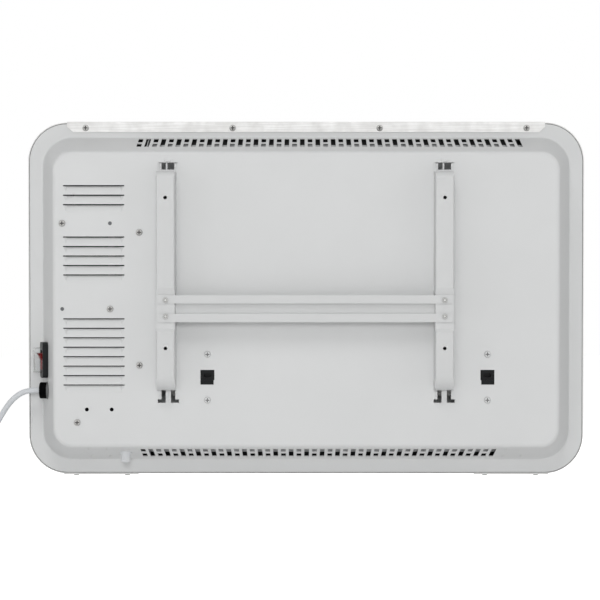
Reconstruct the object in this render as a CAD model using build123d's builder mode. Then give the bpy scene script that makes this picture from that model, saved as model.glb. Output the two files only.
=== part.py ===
"""Wall panel convector heater with its wall bracket, modelled piece by piece.

Units are millimetres. X runs to the right as seen from behind, Z is up, and Y runs from the wall
into the room. The wall touches the bracket at Y = 0, and the origin is the middle of the four
wall screws. Positions on the casing are counted from the panel's centre, x to the right and z up.
"""

from build123d import *
from math import atan2, cos, hypot, pi, radians, sin, tan
import os

os.makedirs("parts", exist_ok=True)

# ---------------------------------------------------------------- overall sizes
panel_w = 640.0  # the front tray, side to side
panel_h = 405.0  # and its height
panel_r = 45.0  # its corner radius
panel_z = -30.0  # the panel's centre hangs this far below the middle of the wall screws
hang_x = 1.4  # and this far to the right, within the play of the bracket's hooks
stand_off = 26.0  # from the wall to the back of the casing
pan_depth = 64.0  # from the back of the casing to its rim
tray_depth = 20.0  # from the rim to the front of the panel
tray_wall = 1.5
tray_front_r = 6.0
sheet = 1.0  # the casing's steel
seat_gap = 0.3  # pieces that seat in each other stand this far apart
screw_gap = 0.1  # round a screw, rivet or peg in its hole

hung = Location((hang_x, 0, 0))
back_y = stand_off
rim_y = back_y + pan_depth
front_y = rim_y + tray_depth

# ---------------------------------------------------------------- the casing's pan
rim_side = 17.0  # width of the flat rim beside the pan
rim_end = 17.5  # and above and below it
base_w = panel_w - 2 * rim_side  # the pan at its rim
base_h = panel_h - 2 * rim_end
half_w = base_w / 2
half_h = base_h / 2
base_r = 34.0
draft_run = 19.5  # how far each wall leans in over the pan's depth
back_r = 21.0  # corner radius of the back face
fold_r = 5.0  # bend between wall and back, outside
foot_r = 3.0  # bend between wall and rim, outside

lean = atan2(draft_run, pan_depth)


def seen(y):
    """A sketch plane parallel to the wall at depth y, its origin at the panel's centre, x right and y up."""
    return Plane(origin=(0, y, panel_z), x_dir=(1, 0, 0), z_dir=(0, -1, 0))


def reach(half_size, h, inset=0.0):
    """Half the pan's size at height h above its rim, drawn in by inset square to the wall."""
    return half_size - h * tan(lean) - inset / cos(lean)


def pan_form(inset, h_rim, h_back, bend):
    """The pan as a solid block between two heights above the rim, with its back edges rounded."""
    with BuildPart() as form:
        for h in (h_rim, h_back):
            with BuildSketch(seen(rim_y - h)):
                corner = base_r - h * (base_r - back_r) / pan_depth - inset
                RectangleRounded(2 * reach(base_w / 2, h, inset), 2 * reach(base_h / 2, h, inset), corner)
        loft(ruled=True)
        fillet(form.edges().group_by(Axis.Y)[0], bend)
    return form.part


# Planes on the outer face of the pan's walls, with their origin at the foot of the wall.
top_wall = Plane(
    origin=(0, rim_y, panel_z + half_h), x_dir=(1, 0, 0), z_dir=(0, -sin(lean), cos(lean))
)
bottom_wall = Plane(
    origin=(0, rim_y, panel_z - half_h), x_dir=(1, 0, 0), z_dir=(0, -sin(lean), -cos(lean))
)
# Here x climbs the wall from the rim and y is up.
left_wall = Plane(
    origin=(-half_w, rim_y, panel_z),
    x_dir=(sin(lean), -cos(lean), 0),
    z_dir=(-cos(lean), -sin(lean), 0),
)

# ---------------------------------------------------------------- grilles in the two long walls
divider_x = 116.0 - half_w  # line of the screws that hold the divider
slot_w = 5.3
slot_pitch = 8.8
top_from = divider_x - 2.2  # middle of the first slot
top_to = half_w - 61.0  # and of the last
top_rows = ((4.0, 21.5), (26.5, 41.6))  # heights above the rim where a pair of short slots lies
bottom_from = divider_x + 2.7
bottom_to = half_w - 91.3
bottom_rows = ((12.0, 29.0), (38.0, 53.0))
foot_hole_r = 1.4  # holes in the bottom wall that take the screws of the feet
foot_hole_x = half_w - 67.6
foot_hole_dx = 20.8
foot_hole_rows = (15.5, 53.5)

# ---------------------------------------------------------------- louvres in the back
louvre_x = divider_x - 50.85
louvre_w = 68.5
louvre_pitch = 10.6
louvre_slit = 1.3
louvre_len = 7.0  # of the ramp below the slit
louvre_depth = 3.2
louvre_taper = 3.0  # each end draws in by this towards the ramp's foot
louvre_lean = 1.5  # and by this times the depth on its way inwards
louvre_groups = ((128.1, 3), (70.7, 5), (-20.9, 8))  # height of the first slit, and how many

# ---------------------------------------------------------------- screws and small holes
head_r = 3.65
head_h = 1.9
shank_r = 1.5
screw_len = 8.0
recess_w = 0.8  # arms of the cross recess
recess_d = 0.9

board_x = divider_x - 59.5  # centre of the power board's four fixings
board_z = 37.5
board_dx = 53.6
board_dz = 95.9
divider_screw_z = (75.3, -73.5)
earth_x = divider_x - 69.9
earth_z = 47.2 - half_h
peg_r = 1.7
peg_gap = 0.45
tip_x = divider_x - 45.05
tip_z = -123.2
tip_pitch = 27.9
tip_hole_r = 2.2

# ---------------------------------------------------------------- wall bracket
bracket_side = 165.4  # from the panel's side to a wall screw
bracket_pitch = panel_w - 2 * bracket_side  # between the two uprights, and between the wall screws
wall_hole_pitch = 167.0
wall_hole_r = 2.0
steel = 1.5  # the bracket's steel
web_w = 20.4
web_r = 2.0  # its rounded long edges
foot_w = 20.8  # the channel's width where it meets the casing
window_w = 14.6  # the casing's window that the bracket latches over
window_h = 7.1
window_z = half_h - 36.1
upright_top = window_z - 6.2
upright_low = 84.0 - half_h
top_round = 8.5  # height of the curved end at the top
low_round = 18.0
latch_w = 21.6  # the flat foot above the channel
latch_notch = window_w + 2.6  # its opening, wider than the window by the play
latch_h = window_z + window_h / 2 - upright_top
slit_h = 0.9  # the window's slit that goes on past the foot's end
bump_w = 8.4  # the low bump on the casing above each latch
bump_h = 3.2
bump_t = 0.7
latch_tongue = 1.8
rivet_head_h = 1.0
rivet_head_r = 3.0
rivet_shank_r = 2.0
rivet_dimple_r = 1.7
rivet_dimple = 0.5
rivet_z = (0.0, -18.0)
joggle = steel + rivet_head_h  # the web steps back so that the bar's rivets stay off the wall
joggle_top = (13.6, 5.9)  # start and end of the upper step
joggle_low = (-31.7, -35.5)
bar_top = 5.4
bar_flange = 9.2
bar_gap = 11.4
bar_end = 8.9  # past the line of the rivets
bar_depth = 5.0

hook_mid = 5.35  # from the upright's middle to the middle of each hook and of its slot
hook_w = steel
hook_lug = 4.15  # its lug goes this much further out behind the casing
hook_reach = 3.5  # past the casing's outer face
lift_travel = 14.0  # the heater lifts this far before it comes off the hooks
hook_play = 1.6  # on both sides of a hook
slot_over = 0.3  # above and below a hook
slot_foot_h = 3.8

# ---------------------------------------------------------------- switch on the left wall
switch_h = 22.0  # height of its middle above the rim
switch_z = -69.7
bezel_l = 40.6
bezel_w = 20.0
bezel_t = 6.2
bezel_r = 5.0
switch_body_l = 36.0
switch_body_w = 16.0
switch_body_d = 14.0
rocker_l = 19.0
rocker_w = 11.0
rocker_tilt = 13.0
rocker_pivot = 1.8  # height of the pivot above the wall's face
rocker_up = 4.7  # from the pivot to the middle of the rocker's top
pivot_pin_r = 1.2
cover_l = 29.4
cover_w = 16.4
cover_h = 8.6
cover_t = 0.7

# ---------------------------------------------------------------- cord and gland
cord_d = 6.4
gland_z = -104.4
gland_y = 65.0
gland_x = 7.4 - half_w  # the flat seat that is pressed into the wall
gland_r = 9.35
gland_head = 8.4
gland_seat_r = 9.95
gland_body_r = 6.0

# ================================================================ rear casing
flange_gap = tray_wall + seat_gap
hook_top = upright_low + steel
slot_top = hook_top + slot_over
slot_low = upright_low - lift_travel - 2 * slot_over
hook_in = hook_mid - hook_w / 2
slot_in = hook_in - hook_play
slot_out = hook_mid + hook_w / 2 + hook_play
slot_lug_out = slot_out + hook_lug

strip_half = panel_w / 2 - panel_r
strip_end = 21.35  # from the strip's end to its first screw
strip_pitch = 2 * (strip_half - strip_end) / 3
strip_screw_z = panel_h / 2 - 6.4
strip_screw_x = [(i - 1.5) * strip_pitch for i in range(4)]

support_x = (divider_x + 76.2, half_w - 100.0)  # the two element supports
support_z = 98.0 - half_h
support_w = 15.7
support_h = 16.6
support_screw_dz = 25.7
lip_h = 5.0  # the window's lower end is narrower on the side towards the other support
lip_in = 0.9

sensor_x = divider_x - 18.0
sensor_h = 35.0
sensor_r = 5.2
sensor_ring_r = 6.6


def support_window(x, way, gap):
    """The window of one support, smaller by gap all round and lying at its place on the back."""
    with BuildSketch() as window:
        Rectangle(support_w - 2 * gap, support_h - 2 * gap)
        with Locations((way * (support_w / 2 - gap), lip_h / 2 - support_h / 2 + gap)):
            Rectangle(2 * lip_in, lip_h, mode=Mode.SUBTRACT)
    return window.sketch.moved(Location((x, support_z, 0)))


with BuildPart() as louvre_punch:
    # The wedge that a louvre pushes inwards, lying on the panel's centre with its slit edge at z = 0.
    punch_half = louvre_w / 2 + sheet * hypot(1, louvre_lean)
    punch_run = (louvre_depth + sheet) * louvre_lean
    with BuildSketch(Plane.XY):
        with BuildLine():
            Polyline(
                (-punch_half, 0),
                (punch_half, 0),
                (punch_half - punch_run, louvre_depth + sheet),
                (punch_run - punch_half, louvre_depth + sheet),
                close=True,
            )
        make_face()
    with BuildSketch(Plane.XY.offset(-louvre_len - sheet)):
        with Locations((0, sheet / 2)):
            Rectangle(louvre_w + 2 * sheet - 2 * louvre_taper, sheet)
    loft(ruled=True)

with BuildPart() as louvre_pocket:
    # What the punch leaves open outside: the ramp's hollow and the slit above it.
    with BuildSketch(Plane.XY):
        with BuildLine():
            Polyline(
                (-louvre_w / 2 - sheet * louvre_lean, -sheet),
                (louvre_w / 2 + sheet * louvre_lean, -sheet),
                (louvre_w / 2 - louvre_depth * louvre_lean, louvre_depth),
                (louvre_depth * louvre_lean - louvre_w / 2, louvre_depth),
                close=True,
            )
        make_face()
    with BuildSketch(Plane.XY.offset(-louvre_len)):
        with Locations((0, -sheet / 2)):
            Rectangle(louvre_w - 2 * louvre_taper, sheet)
    loft(ruled=True)
    with BuildSketch(Plane.XY):
        with Locations((0, louvre_depth / 2)):
            Rectangle(louvre_w, louvre_depth + 4 * sheet)
    extrude(amount=louvre_slit)

louvre_heights = [z - louvre_slit - i * louvre_pitch for z, count in louvre_groups for i in range(count)]

with BuildPart() as gland_seat:
    # The cup pressed into the sloping wall so that the gland sits square.
    with BuildSketch(Plane.YZ.offset(gland_x + 10)):
        with Locations((gland_y, panel_z + gland_z)):
            Circle(gland_seat_r + sheet)
    extrude(amount=-25)
    add(pan_form(0, 0, pan_depth, fold_r), mode=Mode.INTERSECT)
    with BuildSketch(Plane.YZ.offset(gland_x + 6)):
        with Locations((gland_y, panel_z + gland_z)):
            Circle(gland_seat_r)
    extrude(amount=-6)

with BuildPart() as rear_casing:
    with BuildSketch(seen(rim_y + sheet)):
        RectangleRounded(panel_w - 2 * flange_gap, panel_h - 2 * flange_gap, panel_r - flange_gap)
    extrude(amount=sheet)
    add(pan_form(0, 0, pan_depth, fold_r))
    foot_edges = (
        rear_casing.edges()
        .filter_by_position(Axis.Y, rim_y - 0.01, rim_y + 0.01)
        .filter_by(lambda e: abs(e.center().X) < half_w + 1 and abs(e.center().Z - panel_z) < half_h + 1)
    )
    fillet(foot_edges, foot_r)
    add(pan_form(sheet, -sheet, pan_depth - sheet, fold_r - sheet), mode=Mode.SUBTRACT)
    # The cup for the gland, hollow inside and open outside.
    add(gland_seat.part)
    gland_spot = (gland_y, panel_z + gland_z)
    with BuildSketch(Plane.YZ.offset(gland_x)):
        with Locations(gland_spot):
            Circle(gland_seat_r)
    extrude(amount=-15, mode=Mode.SUBTRACT)
    with BuildSketch(Plane.YZ.offset(gland_x + sheet)):
        with Locations(gland_spot):
            Circle(gland_seat_r - sheet)
    extrude(amount=15, mode=Mode.SUBTRACT)
    with BuildSketch(Plane.YZ.offset(gland_x)):
        with Locations(gland_spot):
            Circle(gland_body_r + screw_gap)
    extrude(amount=2 * sheet, both=True, mode=Mode.SUBTRACT)
    # Louvres.
    louvre_places = [Location((louvre_x, back_y, panel_z + z)) for z in louvre_heights]
    add([louvre_punch.part.moved(place) for place in louvre_places])
    add([louvre_pocket.part.moved(place) for place in louvre_places], mode=Mode.SUBTRACT)
    # Holes in the back: bracket windows, hook slots, element supports, screws and pegs.
    with BuildSketch(seen(back_y + sheet)):
        for x in (-bracket_pitch / 2, bracket_pitch / 2):
            with Locations((x, window_z)):
                Rectangle(window_w, window_h)
            with Locations((x, window_z + window_h / 2 + slit_h / 2)):
                Rectangle(latch_w, slit_h)
            for side in (-1, 1):
                with Locations((x + side * (slot_in + slot_out) / 2, (slot_top + slot_low) / 2)):
                    Rectangle(slot_out - slot_in, slot_top - slot_low)
                with Locations((x + side * (slot_in + slot_lug_out) / 2, slot_low + slot_foot_h / 2)):
                    Rectangle(slot_lug_out - slot_in, slot_foot_h)
        for x, way in zip(support_x, (1, -1)):
            add(support_window(x, way, 0))
            with Locations((x, support_z + support_screw_dz), (x, support_z - support_screw_dz)):
                Circle(shank_r + screw_gap)
        with Locations(
            (board_x - board_dx / 2, board_z + board_dz / 2),
            (board_x + board_dx / 2, board_z - board_dz / 2),
            (divider_x, divider_screw_z[0]),
            (divider_x, divider_screw_z[1]),
            (earth_x, earth_z),
        ):
            Circle(shank_r + screw_gap)
        with Locations(
            (board_x + board_dx / 2, board_z + board_dz / 2),
            (board_x - board_dx / 2, board_z - board_dz / 2),
        ):
            Circle(peg_r + peg_gap)
        with Locations((tip_x - tip_pitch / 2, tip_z), (tip_x + tip_pitch / 2, tip_z)):
            Circle(tip_hole_r)
    extrude(amount=3 * sheet, both=True, mode=Mode.SUBTRACT)
    # The low bump above each latch.
    bump_z = window_z + window_h / 2 + 2 * slit_h + bump_h / 2
    with BuildSketch(seen(back_y)):
        with Locations((-bracket_pitch / 2, bump_z), (bracket_pitch / 2, bump_z)):
            SlotOverall(bump_w, bump_h)
    extrude(amount=bump_t, taper=35)
    # Holes in the rim for the top strip's screws.
    with BuildSketch(seen(rim_y)):
        with Locations(*[(x, strip_screw_z) for x in strip_screw_x]):
            Circle(shank_r + screw_gap)
    extrude(amount=2 * sheet, both=True, mode=Mode.SUBTRACT)
    # Cut-outs for the switch in the left wall and the sensor's bush in the bottom wall.
    with BuildSketch(left_wall):
        with Locations((switch_h / cos(lean), switch_z)):
            Rectangle(switch_body_w + 2 * seat_gap, switch_body_l + 2 * seat_gap)
    extrude(amount=3 * sheet, both=True, mode=Mode.SUBTRACT)
    with BuildSketch(bottom_wall):
        with Locations((sensor_x, sensor_h / cos(lean))):
            Circle(sensor_r + screw_gap)
    extrude(amount=3 * sheet, both=True, mode=Mode.SUBTRACT)
    # Holes in the bottom wall for the feet.
    with BuildSketch(bottom_wall):
        for x in (-foot_hole_x, foot_hole_x):
            for h in foot_hole_rows:
                with Locations((x - foot_hole_dx / 2, h / cos(lean)), (x + foot_hole_dx / 2, h / cos(lean))):
                    Circle(foot_hole_r)
    extrude(amount=3 * sheet, both=True, mode=Mode.SUBTRACT)
    # Grilles: every second column is one long slot, the others are two short ones.
    for wall, first, last, rows, up in (
        (top_wall, top_from, top_to, top_rows, -1),
        (bottom_wall, bottom_from, bottom_to, bottom_rows, 1),
    ):
        with BuildSketch(wall):
            count = round((last - first) / slot_pitch) + 1
            for i in range(count):
                x = (first + last) / 2 + (i - (count - 1) / 2) * slot_pitch
                spans = rows if i % 2 == 0 else ((rows[0][0], rows[1][1]),)
                for low, high in spans:
                    with Locations((x, up * (low + high) / 2 / cos(lean))):
                        Rectangle(slot_w, (high - low) / cos(lean))
        extrude(amount=3 * sheet, both=True, mode=Mode.SUBTRACT)
rear_casing.part.label = "rear_casing"
export_step(rear_casing.part.moved(hung), "parts/rear_casing.step")
print("rear casing", len(rear_casing.solids()), round(rear_casing.part.volume))

# ================================================================ screws
with BuildPart() as pan_screw:
    # A cross-recessed pan-head screw: the head stands on the XY plane and the shank points down.
    with BuildSketch(Plane.XY):
        Circle(head_r)
    extrude(amount=head_h)
    chamfer(pan_screw.edges().group_by(Axis.Z)[-1], head_h * 0.4)
    with BuildSketch(Plane.XY.offset(head_h)):
        Rectangle(head_r, recess_w)
        Rectangle(recess_w, head_r)
    extrude(amount=-recess_d, mode=Mode.SUBTRACT)
    with BuildSketch(Plane.XY):
        Circle(shank_r)
    extrude(amount=-screw_len)


def screws_on(plane, places):
    """Copies of the pan-head screw standing on a plane at the places given there."""
    return [pan_screw.part.moved(plane * Pos(x, y)) for x, y in places]


board_screws = [
    (board_x - board_dx / 2, board_z + board_dz / 2),
    (board_x + board_dx / 2, board_z - board_dz / 2),
]
board_pegs = [
    (board_x + board_dx / 2, board_z + board_dz / 2),
    (board_x - board_dx / 2, board_z - board_dz / 2),
]
divider_screws = [(divider_x, z) for z in divider_screw_z]
support_screws_at = [(x, support_z + side * support_screw_dz) for x in support_x for side in (1, -1)]

with BuildPart() as casing_screws:
    add(screws_on(seen(back_y), board_screws + divider_screws + [(earth_x, earth_z)]))
casing_screws.part.label = "casing_screws"
export_step(casing_screws.part.moved(hung), "parts/casing_screws.step")

with BuildPart() as support_screws:
    add(screws_on(seen(back_y), support_screws_at))
support_screws.part.label = "support_screws"
export_step(support_screws.part.moved(hung), "parts/support_screws.step")

# ================================================================ front panel
lug_w = 14.0
lug_h = 11.0
foot_screw_x = [side * (panel_w / 2 - 83.5) + step for side in (-1, 1) for step in (-29.5, 29.5)]
foot_screw_y = rim_y + sheet + 7.0
inside_h = panel_h / 2 - tray_wall

control_x = divider_x - 49.0
control_z = half_h - 123.0
control_w = 68.0
control_h = 128.0
control_lip = 2.0
control_r = 6.0

with BuildPart() as tray_hollow:
    with BuildSketch(seen(rim_y)):
        RectangleRounded(panel_w - 2 * tray_wall, panel_h - 2 * tray_wall, panel_r - tray_wall)
    extrude(amount=tray_wall - tray_depth)
    fillet(tray_hollow.edges().group_by(Axis.Y)[-1], tray_front_r - tray_wall)

with BuildPart() as front_panel:
    with BuildSketch(seen(rim_y)):
        RectangleRounded(panel_w, panel_h, panel_r)
    extrude(amount=-tray_depth)
    fillet(front_panel.edges().group_by(Axis.Y)[-1], tray_front_r)
    add(tray_hollow.part, mode=Mode.SUBTRACT)
    # Blocks that carry the casing's rim and take the screws of the strip and the foot plates.
    with BuildSketch(seen(rim_y + sheet)):
        with Locations(*[(x, inside_h - lug_h / 2) for x in strip_screw_x]):
            Rectangle(lug_w, lug_h)
        with Locations(*[(x, lug_h / 2 - inside_h) for x in foot_screw_x]):
            Rectangle(lug_w, lug_h)
    extrude(amount=sheet + tray_wall - tray_depth)
    with BuildSketch(seen(rim_y)):
        with Locations(*[(x, strip_screw_z) for x in strip_screw_x]):
            Circle(shank_r + screw_gap)
    extrude(amount=-screw_len, mode=Mode.SUBTRACT)
    with BuildSketch(Plane.XY.offset(panel_z - panel_h / 2)):
        with Locations(*[(x, foot_screw_y) for x in foot_screw_x]):
            Circle(shank_r + screw_gap)
    extrude(amount=screw_len, mode=Mode.SUBTRACT)
    with BuildSketch(seen(front_y)):
        with Locations((control_x, control_z)):
            RectangleRounded(control_w, control_h, control_r)
    extrude(amount=2 * tray_wall, both=True, mode=Mode.SUBTRACT)
front_panel.part.label = "front_panel"
export_step(front_panel.part.moved(hung), "parts/front_panel.step")

# ================================================================ top strip
strip_t = 0.8
strip_drop = 11.9  # what shows below the top edge
strip_cut_x = 7.0  # the slanted lower corners
strip_cut_z = 6.0
strip_over = 12.0  # how far it goes forward over the panel

with BuildPart() as top_strip:
    strip_top = panel_h / 2 + strip_t
    with BuildSketch(seen(rim_y)):
        with BuildLine():
            Polyline(
                (-strip_half, strip_top),
                (strip_half, strip_top),
                (strip_half, strip_top - strip_drop + strip_cut_z),
                (strip_half - strip_cut_x, strip_top - strip_drop),
                (strip_cut_x - strip_half, strip_top - strip_drop),
                (-strip_half, strip_top - strip_drop + strip_cut_z),
                close=True,
            )
        make_face()
        with Locations(*[(x, strip_screw_z) for x in strip_screw_x]):
            Circle(shank_r + screw_gap, mode=Mode.SUBTRACT)
    extrude(amount=strip_t)
    with BuildSketch(Plane.XY.offset(panel_z + panel_h / 2)):
        with Locations((0, rim_y + strip_over / 2)):
            Rectangle(2 * strip_half, strip_over)
    extrude(amount=strip_t)
top_strip.part.label = "top_strip"
export_step(top_strip.part.moved(hung), "parts/top_strip.step")

with BuildPart() as strip_screws:
    add(screws_on(seen(rim_y - strip_t), [(x, strip_screw_z) for x in strip_screw_x]))
strip_screws.part.label = "strip_screws"
export_step(strip_screws.part.moved(hung), "parts/strip_screws.step")

# ================================================================ foot plates
plate_t = 1.0
plate_side = 40.0  # from the panel's side
plate_out = panel_w / 2 - plate_side
plate_in = plate_out - 86.0
plate_d = tray_depth - tray_front_r

for name, side in (("foot_plate_left", -1), ("foot_plate_right", 1)):
    with BuildPart() as foot_plate:
        with BuildSketch(Plane.XY.offset(panel_z - panel_h / 2 - plate_t)):
            with Locations((side * (plate_in + plate_out) / 2, rim_y + plate_d / 2)):
                RectangleRounded(plate_out - plate_in, plate_d, 2)
            with Locations(*[(x, foot_screw_y) for x in foot_screw_x if x * side > 0]):
                Circle(shank_r + screw_gap, mode=Mode.SUBTRACT)
        extrude(amount=plate_t)
    foot_plate.part.label = name
    export_step(foot_plate.part.moved(hung), f"parts/{name}.step")

under_side = Plane(
    origin=(0, 0, panel_z - panel_h / 2 - plate_t), x_dir=(1, 0, 0), z_dir=(0, 0, -1)
)
with BuildPart() as foot_screws:
    add(screws_on(under_side, [(x, -foot_screw_y) for x in foot_screw_x]))
foot_screws.part.label = "foot_screws"
export_step(foot_screws.part.moved(hung), "parts/foot_screws.step")

# ================================================================ wall bracket
channel_y = back_y - seat_gap  # the channel's edges stop just short of the casing


def channel_block(x, inset, open_y):
    """An upright as a solid block at x, drawn in by inset; the channel is the difference of two."""
    low = upright_low + inset
    high = upright_top - inset
    low_r = low_round - inset
    top_r = top_round - inset
    with BuildPart() as block:
        with BuildSketch(Plane(origin=(x - foot_w, 0, panel_z), x_dir=(0, 1, 0), z_dir=(1, 0, 0))):
            with BuildLine():
                Line((open_y, low), (inset + low_r, low))
                CenterArc((inset + low_r, low + low_r), low_r, 270, -90)
                Polyline(
                    (inset, low + low_r),
                    (inset, joggle_low[1]),
                    (inset + joggle, joggle_low[0]),
                    (inset + joggle, joggle_top[1]),
                    (inset, joggle_top[0]),
                    (inset, high - top_r),
                )
                CenterArc((inset + top_r, high - top_r), top_r, 180, -90)
                Polyline((inset + top_r, high), (open_y, high), (open_y, low))
            make_face()
        extrude(amount=2 * foot_w)
        # The two sides flare towards the casing, and their edges with the web are rounded.
        flare = (foot_w - web_w) / 2 / channel_y
        near = web_w / 2 + flare * inset - inset * hypot(1, flare)
        far = near + flare * (open_y - inset)
        with BuildSketch(Plane.XY.offset(panel_z + upright_low)) as profile:
            with BuildLine():
                Polyline(
                    (x - near, inset),
                    (x - far, open_y),
                    (x + far, open_y),
                    (x + near, inset),
                    close=True,
                )
            make_face()
            fillet(profile.vertices().group_by(Axis.Y)[0], web_r - inset)
        extrude(amount=upright_top - upright_low, mode=Mode.INTERSECT)
    return block.part


for name, x in (("bracket_upright_left", -bracket_pitch / 2), ("bracket_upright_right", bracket_pitch / 2)):
    with BuildPart() as upright:
        add(channel_block(x, 0, channel_y))
        add(channel_block(x, steel, channel_y + steel), mode=Mode.SUBTRACT)
        # The flat foot that latches over the casing's window.
        with BuildSketch(seen(channel_y)):
            with Locations((x, upright_top - steel + (latch_h + steel) / 2)):
                Rectangle(latch_w, latch_h + steel)
            with Locations((x, window_z)):
                Rectangle(latch_notch, window_h, mode=Mode.SUBTRACT)
            with Locations((x, window_z - steel / 2)):
                Rectangle(latch_tongue, window_h + steel)
        extrude(amount=steel)
        # Two hooks that reach through the casing, each with a lug turned outwards behind it.
        with BuildSketch(Plane.XY.offset(panel_z + upright_low)):
            for side in (-1, 1):
                hook_tip = back_y + hook_reach
                with Locations((x + side * (hook_in + hook_w / 2), (channel_y - steel + hook_tip) / 2)):
                    Rectangle(hook_w, hook_tip - channel_y + steel)
                lug_y = back_y + sheet + seat_gap
                with Locations((x + side * (hook_in + (hook_w + hook_lug) / 2), (lug_y + hook_tip) / 2)):
                    Rectangle(hook_w + hook_lug, hook_tip - lug_y)
        extrude(amount=steel)
        # Wall-screw holes and rivet holes through the web.
        with BuildSketch(Plane.XZ):
            with Locations((x, wall_hole_pitch / 2), (x, -wall_hole_pitch / 2)):
                Circle(wall_hole_r)
            with Locations(*[(x, panel_z + z) for z in rivet_z]):
                Circle(rivet_shank_r + screw_gap)
        extrude(amount=-joggle - 2 * steel, mode=Mode.SUBTRACT)
    upright.part.label = name
    export_step(upright.part, f"parts/{name}.step")

bar_low = bar_top - 2 * bar_flange - bar_gap
bar_len = bracket_pitch + 2 * bar_end
bar_y = rivet_head_h
hat_y = bar_y + bar_depth
hat_half = bracket_pitch / 2 - foot_w / 2 - seat_gap

with BuildPart() as bracket_crossbar:
    # A hat channel: two flanges towards the wall and a web set back between them.
    with BuildSketch(Plane(origin=(-hat_half, 0, panel_z), x_dir=(0, 1, 0), z_dir=(1, 0, 0))):
        upper = bar_top - bar_flange
        lower = upper - bar_gap
        with BuildLine():
            Polyline(
                (bar_y, bar_top),
                (bar_y, upper),
                (hat_y, upper),
                (hat_y, lower),
                (bar_y, lower),
                (bar_y, bar_low),
                (bar_y + steel, bar_low),
                (bar_y + steel, lower - steel),
                (hat_y + steel, lower - steel),
                (hat_y + steel, upper + steel),
                (bar_y + steel, upper + steel),
                (bar_y + steel, bar_top),
                close=True,
            )
        make_face()
    extrude(amount=2 * hat_half)
    # Over the uprights only the two flanges go on.
    with BuildSketch(seen(bar_y + steel)):
        with Locations((0, bar_top - bar_flange / 2), (0, bar_low + bar_flange / 2)):
            RectangleRounded(bar_len, bar_flange, 1.5)
    extrude(amount=steel)
    with BuildSketch(seen(bar_y + steel)):
        with Locations(*[(side * bracket_pitch / 2, z) for side in (-1, 1) for z in rivet_z]):
            Circle(rivet_shank_r + screw_gap)
    extrude(amount=steel, mode=Mode.SUBTRACT)
bracket_crossbar.part.label = "bracket_crossbar"
export_step(bracket_crossbar.part, "parts/bracket_crossbar.step")

with BuildPart() as bracket_rivets:
    rivet_places = [(side * bracket_pitch / 2, z) for side in (-1, 1) for z in rivet_z]
    with BuildSketch(seen(rivet_head_h)):
        with Locations(*rivet_places):
            Circle(rivet_head_r)
    extrude(amount=rivet_head_h)
    with BuildSketch(seen(rivet_head_h)):
        with Locations(*rivet_places):
            Circle(rivet_shank_r)
    extrude(amount=-2 * steel - rivet_head_h)
    with BuildSketch(seen(rivet_head_h + 2 * steel)):
        with Locations(*rivet_places):
            Circle(rivet_shank_r + 0.6)
    extrude(amount=-rivet_head_h)
    with BuildSketch(seen(0)):
        with Locations(*rivet_places):
            Circle(rivet_dimple_r)
    extrude(amount=-rivet_dimple, mode=Mode.SUBTRACT)
bracket_rivets.part.label = "bracket_rivets"
export_step(bracket_rivets.part, "parts/bracket_rivets.step")

# ================================================================ heating chamber
element_x = sum(support_x) / 2
element_y = 52.0
element_over = 39.8  # the element goes on this far past each support
element_len = support_x[1] - support_x[0] + 2 * element_over
element_r = 7.0  # the tube in its middle
fin_len = 27.0
fin_t = 2.2
rib_at = (18.0, 25.0)  # distance of each cross rib from the middle
rib_w = (11.0, 9.0)
rib_t = 1.6
stud_r = 5.0
stud_len = 14.0

with BuildPart() as heating_element:
    # An aluminium extrusion with four ribbed fins in an X round its heater tube.
    with BuildSketch(Plane.YZ.offset(element_x - element_len / 2)):
        with Locations((element_y, panel_z + support_z)):
            Circle(element_r)
            with PolarLocations(fin_len / 2, 4, 45):
                Rectangle(fin_len, fin_t)
            for distance, width in zip(rib_at, rib_w):
                with PolarLocations(distance, 4, 45):
                    Rectangle(rib_t, width)
    extrude(amount=element_len)
heating_element.part.label = "heating_element"
export_step(heating_element.part.moved(hung), "parts/heating_element.step")

with BuildPart() as element_insulators:
    # A ceramic bush on each end of the heater tube, ending in the terminal.
    for start, way in ((element_x - element_len / 2, -1), (element_x + element_len / 2, 1)):
        with BuildSketch(Plane.YZ.offset(start)):
            with Locations((element_y, panel_z + support_z)):
                Circle(stud_r)
        extrude(amount=way * stud_len)
element_insulators.part.label = "element_insulators"
export_step(element_insulators.part.moved(hung), "parts/element_insulators.step")

strap_w = 18.0
strap_h = 2 * support_screw_dz + 12.0
strap_t = 1.2
holder_w = 21.0  # the holder's shoulder behind the strap
holder_t = 3.0
holder_neck = 11.0
holder_gap = 0.15
notch_h = 4.8
notch_w = 9.0
notch_d = 6.0

with BuildPart() as support_straps:
    # Steel straps screwed behind the casing; each clamps one black holder.
    with BuildSketch(seen(back_y + sheet)):
        for x in support_x:
            with Locations((x, support_z)):
                RectangleRounded(strap_w, strap_h, 3)
                Rectangle(support_w, support_h, mode=Mode.SUBTRACT)
            with Locations((x, support_z + support_screw_dz), (x, support_z - support_screw_dz)):
                Circle(shank_r + screw_gap, mode=Mode.SUBTRACT)
    extrude(amount=-strap_t)
support_straps.part.label = "support_straps"
export_step(support_straps.part.moved(hung), "parts/support_straps.step")

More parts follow.
